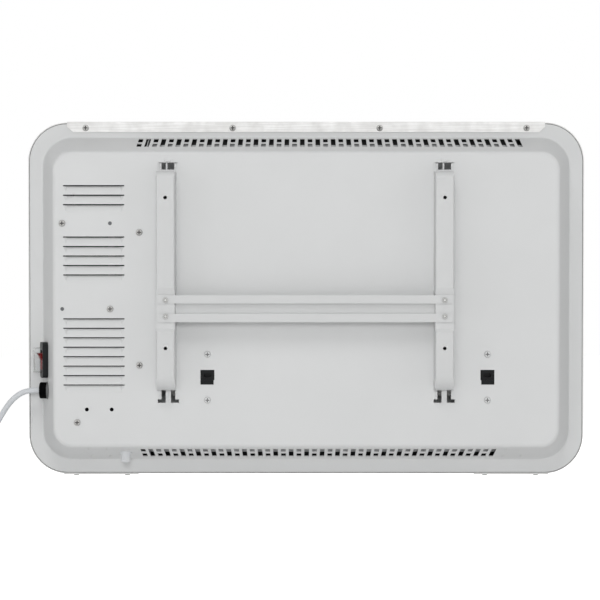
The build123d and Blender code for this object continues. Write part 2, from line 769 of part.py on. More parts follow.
for name, x, way in zip(("element_holder_left", "element_holder_right"), support_x, (1, -1)):
    with BuildPart() as element_holder:
        shoulder_y = back_y + sheet + strap_t
        with BuildSketch(seen(shoulder_y)):
            add(support_window(x, way, holder_gap))
        extrude(amount=sheet + strap_t)
        with BuildSketch(seen(shoulder_y)):
            with Locations((x, support_z)):
                Rectangle(holder_w, holder_w + 2)
        extrude(amount=-holder_t)
        with BuildSketch(seen(shoulder_y + holder_t)):
            with Locations((x, support_z)):
                Rectangle(holder_neck, holder_neck)
        extrude(amount=-(element_y - element_r - seat_gap - shoulder_y - holder_t))
        # The arched recess and the groove above the lower lip that show from behind.
        with BuildSketch(seen(back_y)):
            with Locations((x, support_z + 2.2)):
                SlotOverall(notch_w, notch_h)
        extrude(amount=-notch_d, mode=Mode.SUBTRACT)
        with BuildSketch(seen(back_y)):
            with Locations((x, support_z - support_h / 2 + lip_h + 0.5)):
                Rectangle(support_w - 1.6, 0.6)
        extrude(amount=-0.9, mode=Mode.SUBTRACT)
    element_holder.part.label = name
    export_step(element_holder.part.moved(hung), f"parts/{name}.step")

wall_t = 0.8  # inner sheet-metal parts
wall_x = divider_x + 6.0  # the divider's face towards the electronics
wall_gap = 0.5
divider_front = front_y - tray_wall - 4.0
foot_pad = 14.0
foot_pad_h = 24.0
grommet_r = 7.0
lead_r = 1.2
lead_y = element_y - 2.5
cutout_r = 8.0
cutout_z = 60.0
cutout_y = 50.0

with BuildPart() as divider_wall:
    with BuildSketch(Plane(origin=(wall_x, 0, panel_z), x_dir=(0, 1, 0), z_dir=(1, 0, 0))):
        back_half = reach(half_h, pan_depth - sheet, sheet) - fold_r - wall_gap
        bend_half = reach(half_h, pan_depth - sheet - 2 * fold_r, sheet) - wall_gap
        rim_half = reach(half_h, 0, sheet) - wall_gap
        with BuildLine():
            Polyline(
                (back_y + sheet, -back_half),
                (back_y + sheet + 2 * fold_r, -bend_half),
                (rim_y, -rim_half),
                (divider_front, -rim_half),
                (divider_front, rim_half),
                (rim_y, rim_half),
                (back_y + sheet + 2 * fold_r, bend_half),
                (back_y + sheet, back_half),
                close=True,
            )
        make_face()
        with Locations((lead_y, support_z)):
            Circle(grommet_r, mode=Mode.SUBTRACT)
    extrude(amount=wall_t)
    with BuildSketch(seen(back_y + sheet)):
        for z in divider_screw_z:
            with Locations((wall_x + wall_t - foot_pad / 2, z)):
                Rectangle(foot_pad, foot_pad_h)
            with Locations((divider_x, z)):
                Circle(shank_r + screw_gap, mode=Mode.SUBTRACT)
    extrude(amount=-wall_t)
divider_wall.part.label = "divider_wall"
export_step(divider_wall.part.moved(hung), "parts/divider_wall.step")

with BuildPart() as lead_grommet:
    with BuildSketch(Plane.YZ.offset(wall_x - 1.5)):
        with Locations((lead_y, panel_z + support_z)):
            Circle(grommet_r + 2)
            Circle(grommet_r - 2, mode=Mode.SUBTRACT)
    extrude(amount=1.5)
    with BuildSketch(Plane.YZ.offset(wall_x)):
        with Locations((lead_y, panel_z + support_z)):
            Circle(grommet_r - screw_gap)
            Circle(grommet_r - 2, mode=Mode.SUBTRACT)
    extrude(amount=2 * wall_t)
lead_grommet.part.label = "lead_grommet"
export_step(lead_grommet.part.moved(hung), "parts/lead_grommet.step")

with BuildPart() as thermal_cutout:
    # The overheat cut-out, a disc thermostat on the divider.
    with BuildSketch(Plane.YZ.offset(wall_x + wall_t)):
        with Locations((cutout_y, panel_z + cutout_z)):
            Circle(cutout_r)
            Rectangle(9, 30)
    extrude(amount=1)
    with BuildSketch(Plane.YZ.offset(wall_x + wall_t + 1)):
        with Locations((cutout_y, panel_z + cutout_z)):
            Circle(cutout_r)
    extrude(amount=9)
thermal_cutout.part.label = "thermal_cutout"
export_step(thermal_cutout.part.moved(hung), "parts/thermal_cutout.step")

shield_y = 76.0
shield_h = base_h - 18.6
shield_right = half_w - 41.0
shield_side_h = base_h - 70.0
shield_foot = 12.0

with BuildPart() as heat_shield:
    # Bright sheet between the element and the front panel, with one side bent back to the casing.
    shield_left = wall_x + wall_t
    with BuildSketch(seen(shield_y)):
        with Locations(((shield_left + shield_right) / 2, 0)):
            Rectangle(shield_right - shield_left, shield_h)
    extrude(amount=-wall_t)
    with BuildSketch(seen(back_y + sheet)):
        with Locations((shield_right - wall_t / 2, 0)):
            Rectangle(wall_t, shield_side_h)
    extrude(amount=-(shield_y - back_y - sheet))
    with BuildSketch(seen(back_y + sheet)):
        with Locations((shield_right + (shield_foot - wall_t) / 2, 0)):
            Rectangle(shield_foot + wall_t, shield_side_h)
    extrude(amount=-wall_t)
    with BuildSketch(seen(shield_y)):
        with Locations((shield_left + wall_t / 2, 0)):
            Rectangle(wall_t, shield_side_h)
    extrude(amount=-10)
heat_shield.part.label = "heat_shield"
export_step(heat_shield.part.moved(hung), "parts/heat_shield.step")

# ================================================================ electronics
board_lift = 7.0  # the board stands clear of the louvres
boss_r = 4.0
frame_t = 2.0
frame_edge = 6.0
frame_w = board_dx + 2 * boss_r
frame_h = board_dz + 2 * boss_r
board_t = 1.6

with BuildPart() as board_holder:
    # A grey plastic frame on four bosses; two take screws and two have pegs through the casing.
    with BuildSketch(seen(back_y + sheet)):
        with Locations(*[(board_x + x, board_z + z) for x in (-board_dx / 2, board_dx / 2)
                         for z in (-board_dz / 2, board_dz / 2)]):
            Circle(boss_r)
    extrude(amount=-board_lift)
    with BuildSketch(seen(back_y + sheet + board_lift)):
        with Locations((board_x, board_z)):
            RectangleRounded(frame_w, frame_h, boss_r)
            Rectangle(frame_w - 2 * frame_edge - 2, frame_h - 2 * frame_edge - 2, mode=Mode.SUBTRACT)
    extrude(amount=-frame_t)
    with BuildSketch(seen(back_y + sheet)):
        with Locations(*board_screws):
            Circle(shank_r + screw_gap)
    extrude(amount=-(screw_len - sheet + seat_gap), mode=Mode.SUBTRACT)
    with BuildSketch(seen(back_y + sheet)):
        with Locations(*board_pegs):
            Circle(peg_r)
    extrude(amount=0.7 * sheet)
board_holder.part.label = "board_holder"
export_step(board_holder.part.moved(hung), "parts/board_holder.step")

board_y = back_y + sheet + board_lift + frame_t
with BuildPart() as power_board:
    with BuildSketch(seen(board_y)):
        with Locations((board_x, board_z)):
            Rectangle(frame_w - 4, frame_h - 4)
    extrude(amount=-board_t)
power_board.part.label = "power_board"
export_step(power_board.part.moved(hung), "parts/power_board.step")

for name, x, z, w, h, t in (
    ("relay", -12.0, 30.0, 16.0, 22.0, 16.0),
    ("transformer", 10.0, -26.0, 26.0, 32.0, 22.0),
    ("capacitor", 12.0, 30.0, 9.0, 18.0, 14.0),
):
    with BuildPart() as component:
        with BuildSketch(seen(board_y + board_t)):
            with Locations((board_x + x, board_z + z)):
                RectangleRounded(w, h, 1)
        extrude(amount=-t)
    component.part.label = name
    export_step(component.part.moved(hung), f"parts/{name}.step")

terminal_y = (42.0, 62.0)
terminal_z = (-50.0, -12.0)
terminal_t = 18.0
with BuildPart() as terminal_block:
    # Three-way terminal block on the divider, with a well for each clamp.
    with BuildSketch(Plane.YZ.offset(wall_x)):
        with Locations((sum(terminal_y) / 2, panel_z + sum(terminal_z) / 2)):
            Rectangle(terminal_y[1] - terminal_y[0], terminal_z[1] - terminal_z[0])
    extrude(amount=-terminal_t)
    with BuildSketch(Plane.YZ.offset(wall_x - terminal_t)):
        with Locations((sum(terminal_y) / 2, panel_z + sum(terminal_z) / 2)):
            with GridLocations(0, 12, 1, 3):
                Rectangle(12, 8)
    extrude(amount=6, mode=Mode.SUBTRACT)
terminal_block.part.label = "terminal_block"
export_step(terminal_block.part.moved(hung), "parts/terminal_block.step")

with BuildPart() as tip_switch:
    # The tilt cut-out, held by two pegs whose ends show from behind.
    with BuildSketch(seen(back_y + sheet)):
        with Locations((tip_x, tip_z)):
            RectangleRounded(tip_pitch + 10, 16, 2)
    extrude(amount=-14)
    with BuildSketch(seen(back_y + sheet)):
        with Locations((tip_x - tip_pitch / 2, tip_z), (tip_x + tip_pitch / 2, tip_z)):
            Circle(tip_hole_r - screw_gap)
    extrude(amount=sheet / 2)
tip_switch.part.label = "tip_switch"
export_step(tip_switch.part.moved(hung), "parts/tip_switch.step")

with BuildPart() as earth_tag:
    with BuildSketch(seen(back_y + sheet)):
        with Locations((earth_x, earth_z)):
            Circle(4.5)
            with Locations((-9, 0)):
                Rectangle(12, 5)
            Circle(shank_r + screw_gap, mode=Mode.SUBTRACT)
    extrude(amount=-wall_t)
earth_tag.part.label = "earth_tag"
export_step(earth_tag.part.moved(hung), "parts/earth_tag.step")

# ================================================================ room sensor in the bottom wall
sensor_out = 11.0
sensor_in = 5.0
with BuildPart() as sensor_sleeve:
    # A pale plastic sleeve that stands out of the wall, hollow for the sensor.
    spot = (sensor_x, sensor_h / cos(lean))
    with BuildSketch(bottom_wall):
        with Locations(spot):
            Circle(sensor_r)
    extrude(amount=sensor_out)
    fillet(sensor_sleeve.edges().filter_by(GeomType.CIRCLE).sort_by(Axis.Z)[0], 1.5)
    with BuildSketch(bottom_wall):
        with Locations(spot):
            Circle(sensor_r)
    extrude(amount=-sheet - sensor_in)
    with BuildSketch(bottom_wall.offset(-sheet)):
        with Locations(spot):
            Circle(sensor_r + 2)
    extrude(amount=-1.2)
    with BuildSketch(bottom_wall.offset(-sheet - sensor_in)):
        with Locations(spot):
            Circle(sensor_r - 1.5)
    extrude(amount=sheet + sensor_in + sensor_out - 1.5, mode=Mode.SUBTRACT)
sensor_sleeve.part.label = "sensor_sleeve"
export_step(sensor_sleeve.part.moved(hung), "parts/sensor_sleeve.step")

with BuildPart() as sensor_bush:
    with BuildSketch(bottom_wall):
        with Locations(spot):
            Circle(sensor_ring_r)
            Circle(sensor_r + screw_gap, mode=Mode.SUBTRACT)
    extrude(amount=1.4)
sensor_bush.part.label = "sensor_bush"
export_step(sensor_bush.part.moved(hung), "parts/sensor_bush.step")

with BuildPart() as room_sensor:
    with BuildSketch(bottom_wall.offset(-sheet - sensor_in)):
        with Locations(spot):
            Circle(sensor_r - 1.5 - seat_gap)
    extrude(amount=sheet + sensor_in + sensor_out - 1.5 - seat_gap)
room_sensor.part.label = "room_sensor"
export_step(room_sensor.part.moved(hung), "parts/room_sensor.step")

# ================================================================ mains switch
switch_spot = (switch_h / cos(lean), switch_z)
rocker_gap = 0.4
well_l = rocker_l + 3.0
well_d = 5.4

with BuildPart() as switch_housing:
    # Bezel and body of the mains switch in one black moulding, with the rocker's well.
    with BuildSketch(left_wall):
        with Locations(switch_spot):
            RectangleRounded(bezel_w, bezel_l, bezel_r)
    extrude(amount=bezel_t)
    with BuildSketch(left_wall):
        with Locations(switch_spot):
            Rectangle(switch_body_w, switch_body_l)
    extrude(amount=-switch_body_d)
    with BuildSketch(left_wall.offset(bezel_t)):
        with Locations(switch_spot):
            Rectangle(rocker_w + 2 * rocker_gap, well_l)
    extrude(amount=-bezel_t - well_d, mode=Mode.SUBTRACT)
    pin_plane = Plane(
        origin=(left_wall * Pos(switch_spot[0], switch_spot[1], rocker_pivot)).position,
        x_dir=(0, 0, 1),
        z_dir=left_wall.x_dir,
    )
    with BuildSketch(pin_plane):
        Circle(pivot_pin_r + 0.1)
    extrude(amount=rocker_w / 2 + 2, both=True, mode=Mode.SUBTRACT)
switch_housing.part.label = "switch_housing"
export_step(switch_housing.part.moved(hung), "parts/switch_housing.step")

with BuildPart() as switch_rocker:
    # The red rocker: a shallow V on top, a round belly below and a pin on each side.
    # In this plane x is up and y points out of the wall.
    with BuildSketch(pin_plane):
        tip = rocker_up + rocker_l / 2 * tan(radians(rocker_tilt))
        low_half = rocker_l / 2 - 1.5
        with BuildLine():
            Polyline((0, rocker_up), (rocker_l / 2, tip), (low_half, -1.0))
            ThreePointArc((low_half, -1.0), (0, -4.5), (-low_half, -1.0))
            Polyline((-low_half, -1.0), (-rocker_l / 2, tip), (0, rocker_up))
        make_face()
    extrude(amount=rocker_w / 2, both=True)
    with BuildSketch(pin_plane):
        Circle(pivot_pin_r)
    extrude(amount=rocker_w / 2 + 1.6, both=True)
rocker_axis = Axis(pin_plane.origin, left_wall.x_dir)
switch_rocker.part.label = "switch_rocker"
print("rocker axis", rocker_axis.position + Vector(hang_x, 0, 0), rocker_axis.direction)
export_step(switch_rocker.part.rotate(rocker_axis, rocker_tilt).moved(hung), "parts/switch_rocker.step")

with BuildPart() as switch_cover:
    # The clear splash cover over the rocker.
    with BuildSketch(left_wall.offset(bezel_t)):
        with Locations(switch_spot):
            RectangleRounded(cover_w, cover_l, 4)
    extrude(amount=cover_h, taper=6)
    with BuildSketch(left_wall.offset(bezel_t)):
        with Locations(switch_spot):
            RectangleRounded(cover_w - 2 * cover_t, cover_l - 2 * cover_t, 4 - cover_t)
    extrude(amount=cover_h - cover_t, taper=6, mode=Mode.SUBTRACT)
switch_cover.part.label = "switch_cover"
export_step(switch_cover.part.moved(hung), "parts/switch_cover.step")

# ================================================================ cord gland
nut_across = 2 * (gland_seat_r - sheet - seat_gap) * cos(pi / 6)
nut_t = 5.0
gland_tail = 13.0
bore_r = cord_d / 2 + screw_gap
gland_face = gland_x - gland_head
gland_at = (gland_y, panel_z + gland_z)

with BuildPart() as cord_gland:
    with BuildSketch(Plane.YZ.offset(gland_x)):
        with Locations(gland_at):
            Circle(gland_r)
    extrude(amount=-gland_head)
    fillet(cord_gland.edges().filter_by(GeomType.CIRCLE).group_by(Axis.X)[0], 1.6)
    with BuildSketch(Plane.YZ.offset(gland_x)):
        with Locations(gland_at):
            Circle(gland_body_r)
    extrude(amount=gland_tail)
    with BuildSketch(Plane.YZ.offset(gland_face)):
        with Locations(gland_at):
            Circle(bore_r)
    extrude(amount=gland_head + gland_tail, mode=Mode.SUBTRACT)
cord_gland.part.label = "cord_gland"
export_step(cord_gland.part.moved(hung), "parts/cord_gland.step")

with BuildPart() as gland_nut:
    with BuildSketch(Plane.YZ.offset(gland_x + sheet)):
        with Locations(gland_at):
            RegularPolygon(nut_across / 2, 6, major_radius=False)
            Circle(gland_body_r + screw_gap, mode=Mode.SUBTRACT)
    extrude(amount=nut_t)
gland_nut.part.label = "gland_nut"
export_step(gland_nut.part.moved(hung), "parts/gland_nut.step")


def tube(name, points, radii, radius):
    """A round tube along straight runs joined by arcs of the given radii; prints its length."""
    with BuildPart() as run:
        with BuildLine() as route:
            FilletPolyline(*points, radius=radii)
        start = route.line @ 0
        with BuildSketch(Plane(origin=start, z_dir=route.line % 0)):
            Circle(radius)
        sweep()
    length = route.wire().length
    share = run.part.volume / (pi * radius**2 * length)
    print(name, "length", round(length, 1), "volume share", round(share, 4))
    run.part.label = name
    export_step(run.part.moved(hung), f"parts/{name}.step")
    return length


gland_height = panel_z + gland_z
terminal_low = panel_z + terminal_z[0]
supply_x = wall_x - 7.0  # where the cord rises to the terminal block
supply_y = element_y + 6.0
supply_bend = 30.0
lead_x = wall_x - 14.0
lead_bend = 8.0
lead_apart = 4.0
tube(
    "supply_lead",
    [
        (gland_face, gland_y, gland_height),
        (gland_x + 33.0, gland_y, gland_height),
        (supply_x - 27.0, supply_y + 2.0, gland_height + 4.0),
        (supply_x, supply_y, gland_height + 24.0),
        (supply_x, supply_y, terminal_low),
    ],
    [supply_bend, supply_bend, 0.6 * supply_bend],
    cord_d / 2,
)

with BuildPart() as element_leads:
    # Two heat-proof leads from the terminal block through the grommet to the element.
    for step in (-lead_apart / 2, lead_apart / 2):
        lead_z = panel_z + support_z + step
        with BuildLine() as lead_path:
            FilletPolyline(
                (lead_x + step, lead_y, terminal_low),
                (lead_x + step, lead_y, lead_z),
                (element_x - element_len / 2 - stud_len, lead_y, lead_z),
                radius=lead_bend,
            )
        with BuildSketch(Plane(origin=lead_path.line @ 0, z_dir=lead_path.line % 0)):
            Circle(lead_r)
        sweep()
element_leads.part.label = "element_leads"
export_step(element_leads.part.moved(hung), "parts/element_leads.step")

# ================================================================ control module in the front panel
frame_out = 1.5  # the module's rim stands this far in front of the panel
frame_edge_cut = 0.8
rim_t = 1.3
face_t = 1.6
box_wall = 1.6
box_back = 100.0
lens_w = 56.0
lens_h = 40.0
lens_dz = 34.0
button_pitch = 18.0
button_dz = -44.0
button_r = 6.0
button_gap = 0.4
button_flange = 1.2
button_cap = 2.6
button_travel = 0.8
stem_r = 2.4
pcb_t = 1.6
key_h = 5.0
pcb_y = 96.0
face_y = front_y + frame_out
stem_end = pcb_y + pcb_t + key_h + button_travel + 0.2
button_places = {
    "button_power": (-button_pitch / 2, button_dz + button_pitch / 2),
    "button_mode": (button_pitch / 2, button_dz + button_pitch / 2),
    "button_down": (-button_pitch / 2, button_dz - button_pitch / 2),
    "button_up": (button_pitch / 2, button_dz - button_pitch / 2),
}

with BuildPart() as control_frame:
    # The plastic frame that fills the panel's cut-out, open at the back for its board.
    with BuildSketch(seen(face_y)):
        with Locations((control_x, control_z)):
            RectangleRounded(control_w + 2 * control_lip, control_h + 2 * control_lip, control_r)
    extrude(amount=frame_out)
    chamfer(control_frame.faces().sort_by(Axis.Y)[-1].edges(), frame_edge_cut)
    with BuildSketch(seen(front_y)):
        with Locations((control_x, control_z)):
            RectangleRounded(control_w - 2 * screw_gap, control_h - 2 * screw_gap, control_r - screw_gap)
    extrude(amount=front_y - box_back)
    with BuildSketch(seen(box_back)):
        with Locations((control_x, control_z)):
            RectangleRounded(control_w - 2 * box_wall, control_h - 2 * box_wall, control_r - control_lip)
    extrude(amount=-(face_y - box_back - face_t - rim_t), mode=Mode.SUBTRACT)
    with BuildSketch(seen(face_y)):
        with Locations((control_x, control_z + lens_dz - 4)):
            RectangleRounded(lens_w, lens_h, 3)
    extrude(amount=rim_t, mode=Mode.SUBTRACT)
    with BuildSketch(seen(face_y)):
        with Locations((control_x, control_z + lens_dz - 4)):
            RectangleRounded(lens_w - 6, lens_h - 6, 2)
    extrude(amount=rim_t + 2 * face_t, mode=Mode.SUBTRACT)
    with BuildSketch(seen(face_y)):
        with Locations(*[(control_x + x, control_z + z) for x, z in button_places.values()]):
            Circle(button_r + button_gap)
    extrude(amount=rim_t + 2 * face_t, mode=Mode.SUBTRACT)
control_frame.part.label = "control_frame"
export_step(control_frame.part.moved(hung), "parts/control_frame.step")

with BuildPart() as display_lens:
    with BuildSketch(seen(face_y - rim_t)):
        with Locations((control_x, control_z + lens_dz - 4)):
            RectangleRounded(lens_w - 2 * screw_gap, lens_h - 2 * screw_gap, 3 - screw_gap)
    extrude(amount=-rim_t)
display_lens.part.label = "display_lens"
export_step(display_lens.part.moved(hung), "parts/display_lens.step")

with BuildPart() as control_board:
    # The board behind the frame; four posts carry it on the panel's inside.
    with BuildSketch(seen(pcb_y)):
        with Locations((control_x, control_z)):
            Rectangle(control_w - 4, control_h - 4)
    extrude(amount=-pcb_t)
    with BuildSketch(seen(pcb_y + pcb_t)):
        with Locations((control_x, control_z)):
            with GridLocations(control_w - 10, control_h - 10, 2, 2):
                Circle(2.5)
    extrude(amount=-(face_y - face_t - rim_t - pcb_y - pcb_t))
control_board.part.label = "control_board"
export_step(control_board.part.moved(hung), "parts/control_board.step")

with BuildPart() as display_module:
    with BuildSketch(seen(pcb_y + pcb_t)):
        with Locations((control_x, control_z + lens_dz - 4)):
            Rectangle(lens_w - 8, lens_h - 8)
    extrude(amount=-(face_y - rim_t - seat_gap - pcb_y - pcb_t))
display_module.part.label = "display_module"
export_step(display_module.part.moved(hung), "parts/display_module.step")

with BuildPart() as key_switches:
    # Four push switches on the board, one under each button.
    for x, z in button_places.values():
        with BuildSketch(seen(pcb_y + pcb_t)):
            with Locations((control_x + x, control_z + z)):
                Rectangle(6, 6)
        extrude(amount=1.2 - key_h)
        with BuildSketch(seen(pcb_y + pcb_t + key_h - 1.2)):
            with Locations((control_x + x, control_z + z)):
                Circle(1.7)
        extrude(amount=-1.2)
key_switches.part.label = "key_switches"
export_step(key_switches.part.moved(hung), "parts/key_switches.step")

for name, (x, z) in button_places.items():
    with BuildPart() as button:
        flange_y = face_y - rim_t - face_t - seat_gap
        with BuildSketch(seen(flange_y)):
            with Locations((control_x + x, control_z + z)):
                Circle(button_r)
        extrude(amount=-(face_y + button_cap / 2 - flange_y))
        fillet(button.faces().sort_by(Axis.Y)[-1].edges(), 0.6)
        with BuildSketch(seen(flange_y)):
            with Locations((control_x + x, control_z + z)):
                Circle(button_r + 1.2)
        extrude(amount=button_flange)
        with BuildSketch(seen(flange_y - button_flange)):
            with Locations((control_x + x, control_z + z)):
                Circle(stem_r)
        extrude(amount=flange_y - button_flange - stem_end)
    button.part.label = name
    export_step(button.part.moved(hung), f"parts/{name}.step")

# ================================================================ mains cord and plug
# Points along the cord, counted from the gland's mouth: outwards, into the room, and down.
cord_falls = [
    (11.6, 0.0, -0.3),
    (23.1, 0.3, 3.7),
    (32.6, 1.0, 11.6),
    (41.1, 3.0, 23.1),
    (49.1, 6.5, 36.6),
    (56.6, 11.5, 51.1),
    (63.1, 17.5, 65.6),
    (68.1, 24.0, 79.6),
    (70.6, 29.3, 92.6),
    (71.1, 31.0, 104.6),
]
cord_points = [(gland_face - x, gland_y + y, gland_height - z) for x, y, z in cord_falls]
coil_y = 50.0  # middle of the ring
coil_r = 46.0  # where the cord enters it
coil_pitch = 8.0  # from one turn to the next in a layer
coil_step = 8.1  # from the first layer to the second
coil_drop = 122.0  # from the gland to the coil's middle
coil_z = gland_height - coil_drop
half_turns_in = 5  # the spare cord is stored in these half turns
half_turns_out = 6
tail_len = 30.0


def bend_radii(points):
    """The largest radius for each bend, from the shorter run beside it and the turn."""
    radii = []
    for a, b, c in zip(points, points[1:], points[2:]):
        before = Vector(*b) - Vector(*a)
        after = Vector(*c) - Vector(*b)
        half_turn = before.get_angle(after) / 2
        radii.append(0.45 * min(before.length, after.length) / tan(radians(half_turn)))
    return radii


route_points = [(gland_face, gland_y, gland_height)] + cord_points
route_points += [(cord_points[-1][0], cord_points[-1][1], coil_z + cord_d)]
lead_radii = bend_radii(route_points)
print("lead radii", [round(r) for r in lead_radii])
lead_length = tube("cord_lead", route_points, lead_radii, cord_d / 2)


def coil_route(x, first, turn_radii, count):
    """Half turns in a plane at x, joined side by side; an even point is on the room's side."""
    arcs = []
    for k in range(first, first + count):
        side = 1 if k % 2 == 0 else -1
        start_y = coil_y + side * turn_radii[k]
        end_y = coil_y - side * turn_radii[k + 1]
        middle = (x, (start_y + end_y) / 2, coil_z - side * abs(start_y - end_y) / 2)
        arcs.append(ThreePointArc((x, start_y, coil_z), middle, (x, end_y, coil_z)))
    return arcs


inner_x = cord_points[-1][0]
outer_x = inner_x - coil_step
turn_radii = [coil_r - k * coil_pitch / 2 for k in range(half_turns_in + 1)]
turn_radii += [turn_radii[-1] + k * coil_pitch / 2 for k in range(half_turns_out + 1)]
last = len(turn_radii) - 1
tail_y = coil_y + turn_radii[last]
tail_z = coil_z - tail_len

with BuildPart() as cord_coil:
    # The rest of the cord, coiled in two layers: inwards, up a layer, and outwards again.
    with BuildLine() as coil_line:
        Line((inner_x, coil_y + coil_r, coil_z + cord_d), (inner_x, coil_y + coil_r, coil_z))
        coil_route(inner_x, 0, turn_radii, half_turns_in)
        climb_from = coil_y - turn_radii[half_turns_in]
        climb_to = coil_y + turn_radii[half_turns_in + 1]
        climb_h = hypot(climb_to - climb_from, coil_step) / 2
        ThreePointArc(
            (inner_x, climb_from, coil_z),
            ((inner_x + outer_x) / 2, (climb_from + climb_to) / 2, coil_z + climb_h),
            (outer_x, climb_to, coil_z),
        )
        coil_route(outer_x, half_turns_in + 1, turn_radii, half_turns_out)
        Line((outer_x, tail_y, coil_z), (outer_x, tail_y, tail_z))
    with BuildSketch(Plane(origin=(inner_x, coil_y + coil_r, coil_z + cord_d), z_dir=(0, 0, -1))):
        Circle(cord_d / 2)
    sweep()
cord_coil.part.label = "cord_coil"
export_step(cord_coil.part.moved(hung), "parts/cord_coil.step")
coil_length = coil_line.wire().length
coil_share = cord_coil.part.volume / (pi * (cord_d / 2) ** 2 * coil_length)
coil_points = [coil_line.wire().position_at(i / 1600) for i in range(1601)]
coil_apart = int(4 * cord_d / coil_length * 1600)
coil_gap = min(
    (coil_points[i] - coil_points[j]).length
    for i in range(0, 1601, 2)
    for j in range(i + coil_apart, 1601, 2)
)
print("coil length", round(coil_length), "volume share", round(coil_share, 4))
print("least gap in the coil", round(coil_gap - cord_d, 2))
print("cord outside in all", round(lead_length + coil_length), "least turn radius", min(turn_radii))

tie_w = 8.0
tie_t = 1.4
tie_gap = 0.4
with BuildPart() as cord_tie:
    # A band round the turns at the top of the coil.
    tie_low = min(turn_radii) - cord_d / 2 - tie_w**2 / 8 / min(turn_radii) - tie_gap
    tie_high = sum(turn_radii[-2:]) / 2 + cord_d / 2 + tie_gap
    tie_wide = coil_step + cord_d + 2 * tie_gap
    with BuildSketch(Plane(origin=(0, coil_y - tie_w / 2, coil_z), x_dir=(1, 0, 0), z_dir=(0, -1, 0))):
        with Locations(((inner_x + outer_x) / 2, (tie_low + tie_high) / 2)):
            RectangleRounded(tie_wide + 2 * tie_t, tie_high - tie_low + 2 * tie_t, 3)
            RectangleRounded(tie_wide, tie_high - tie_low, 3 - tie_t, mode=Mode.SUBTRACT)
    extrude(amount=-tie_w)
cord_tie.part.label = "cord_tie"
export_step(cord_tie.part.moved(hung), "parts/cord_tie.step")

plug_r = 18.5
plug_neck_r = 4.4
plug_neck_len = 20.0
plug_dome = 10.0
plug_len = 52.0
plug_face = Plane(origin=(outer_x, tail_y, tail_z - plug_len), x_dir=(1, 0, 0), z_dir=(0, 0, -1))
clip_w = 8.0
clip_d = 3.0
clip_t = 0.8
with BuildPart() as plug_body:
    # A moulded plug with a strain relief; flats on two sides carry the earth clips.
    with BuildSketch(Plane(origin=(outer_x, tail_y, tail_z), x_dir=(1, 0, 0), z_dir=(0, -1, 0))):
        with BuildLine():
            Polyline(
                (0, 0),
                (plug_neck_r, 0),
                (plug_neck_r + 2, -plug_neck_len),
                (plug_r - 3, -plug_neck_len - plug_dome),
                (plug_r, -plug_neck_len - plug_dome - 5),
                (plug_r, -plug_len),
                (0, -plug_len),
                (0, 0),
            )
        make_face()
    revolve(axis=Axis((outer_x, tail_y, tail_z), (0, 0, 1)))
    fillet(plug_body.edges().filter_by(GeomType.CIRCLE).group_by(Axis.Z)[-2], 3)
    with BuildSketch(plug_face):
        with Locations((0, plug_r - clip_d / 2), (0, clip_d / 2 - plug_r)):
            Rectangle(clip_w, clip_d)
    extrude(amount=-plug_len + plug_neck_len + plug_dome, mode=Mode.SUBTRACT)
plug_body.part.label = "plug_body"
export_step(plug_body.part.moved(hung), "parts/plug_body.step")

pin_r = 2.4
pin_len = 19.0
pin_pitch = 19.0
with BuildPart() as plug_pins:
    with BuildSketch(plug_face):
        with Locations((-pin_pitch / 2, 0), (pin_pitch / 2, 0)):
            Circle(pin_r)
    extrude(amount=pin_len)
    fillet(plug_pins.edges().group_by(Axis.Z)[0], 1)
plug_pins.part.label = "plug_pins"
export_step(plug_pins.part.moved(hung), "parts/plug_pins.step")

with BuildPart() as plug_clips:
    with BuildSketch(plug_face):
        clip_at = plug_r - clip_d + clip_t / 2
        with Locations((0, clip_at), (0, -clip_at)):
            Rectangle(clip_w - 2 * screw_gap, clip_t)
    extrude(amount=-plug_len + plug_neck_len + plug_dome + 4)
plug_clips.part.label = "plug_clips"
export_step(plug_clips.part.moved(hung), "parts/plug_clips.step")
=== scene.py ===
# %% [markdown]
# # A wall panel convector heater, seen from its back
#
# The heater hangs on a wall bracket. Its back is one pressed steel pan with air grilles in its long
# walls and louvres at one end, and its front is a shallow painted tray. The solids come from the CAD
# frame, true in shape and size. This notebook gives each of them its finish, and makes the few pieces
# that a solid model leaves plain: screws with a cross in the head and a thread, the marks on the
# buttons, and a mains cord that bends softly.

# %% Load the frame
import math

import bpy
import numpy as np
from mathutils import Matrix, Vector


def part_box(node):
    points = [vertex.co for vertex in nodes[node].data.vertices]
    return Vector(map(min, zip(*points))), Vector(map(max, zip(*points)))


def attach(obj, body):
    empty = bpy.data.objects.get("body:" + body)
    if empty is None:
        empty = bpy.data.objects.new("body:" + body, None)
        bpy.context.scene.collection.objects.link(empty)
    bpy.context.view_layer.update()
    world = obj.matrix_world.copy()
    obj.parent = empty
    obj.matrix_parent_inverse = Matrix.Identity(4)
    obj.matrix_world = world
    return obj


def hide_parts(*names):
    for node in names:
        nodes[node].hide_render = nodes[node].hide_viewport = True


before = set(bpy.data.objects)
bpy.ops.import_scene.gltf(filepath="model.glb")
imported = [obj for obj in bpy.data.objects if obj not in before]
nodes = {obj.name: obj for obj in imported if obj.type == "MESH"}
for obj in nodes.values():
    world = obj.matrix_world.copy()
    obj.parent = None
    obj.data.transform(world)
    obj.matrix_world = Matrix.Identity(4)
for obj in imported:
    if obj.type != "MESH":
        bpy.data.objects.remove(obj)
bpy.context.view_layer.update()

mm = 0.001

# %% [markdown]
# ## The camera
# The photograph looks straight at the heater's back with a long lens, from a little above. How near the
# camera stands decides the perspective: the bracket, which is nearer, has to look larger than the rim
# by the right share. So the distance is chosen first, and the lens then follows from how many
# millimetres of the rim one pixel shows.

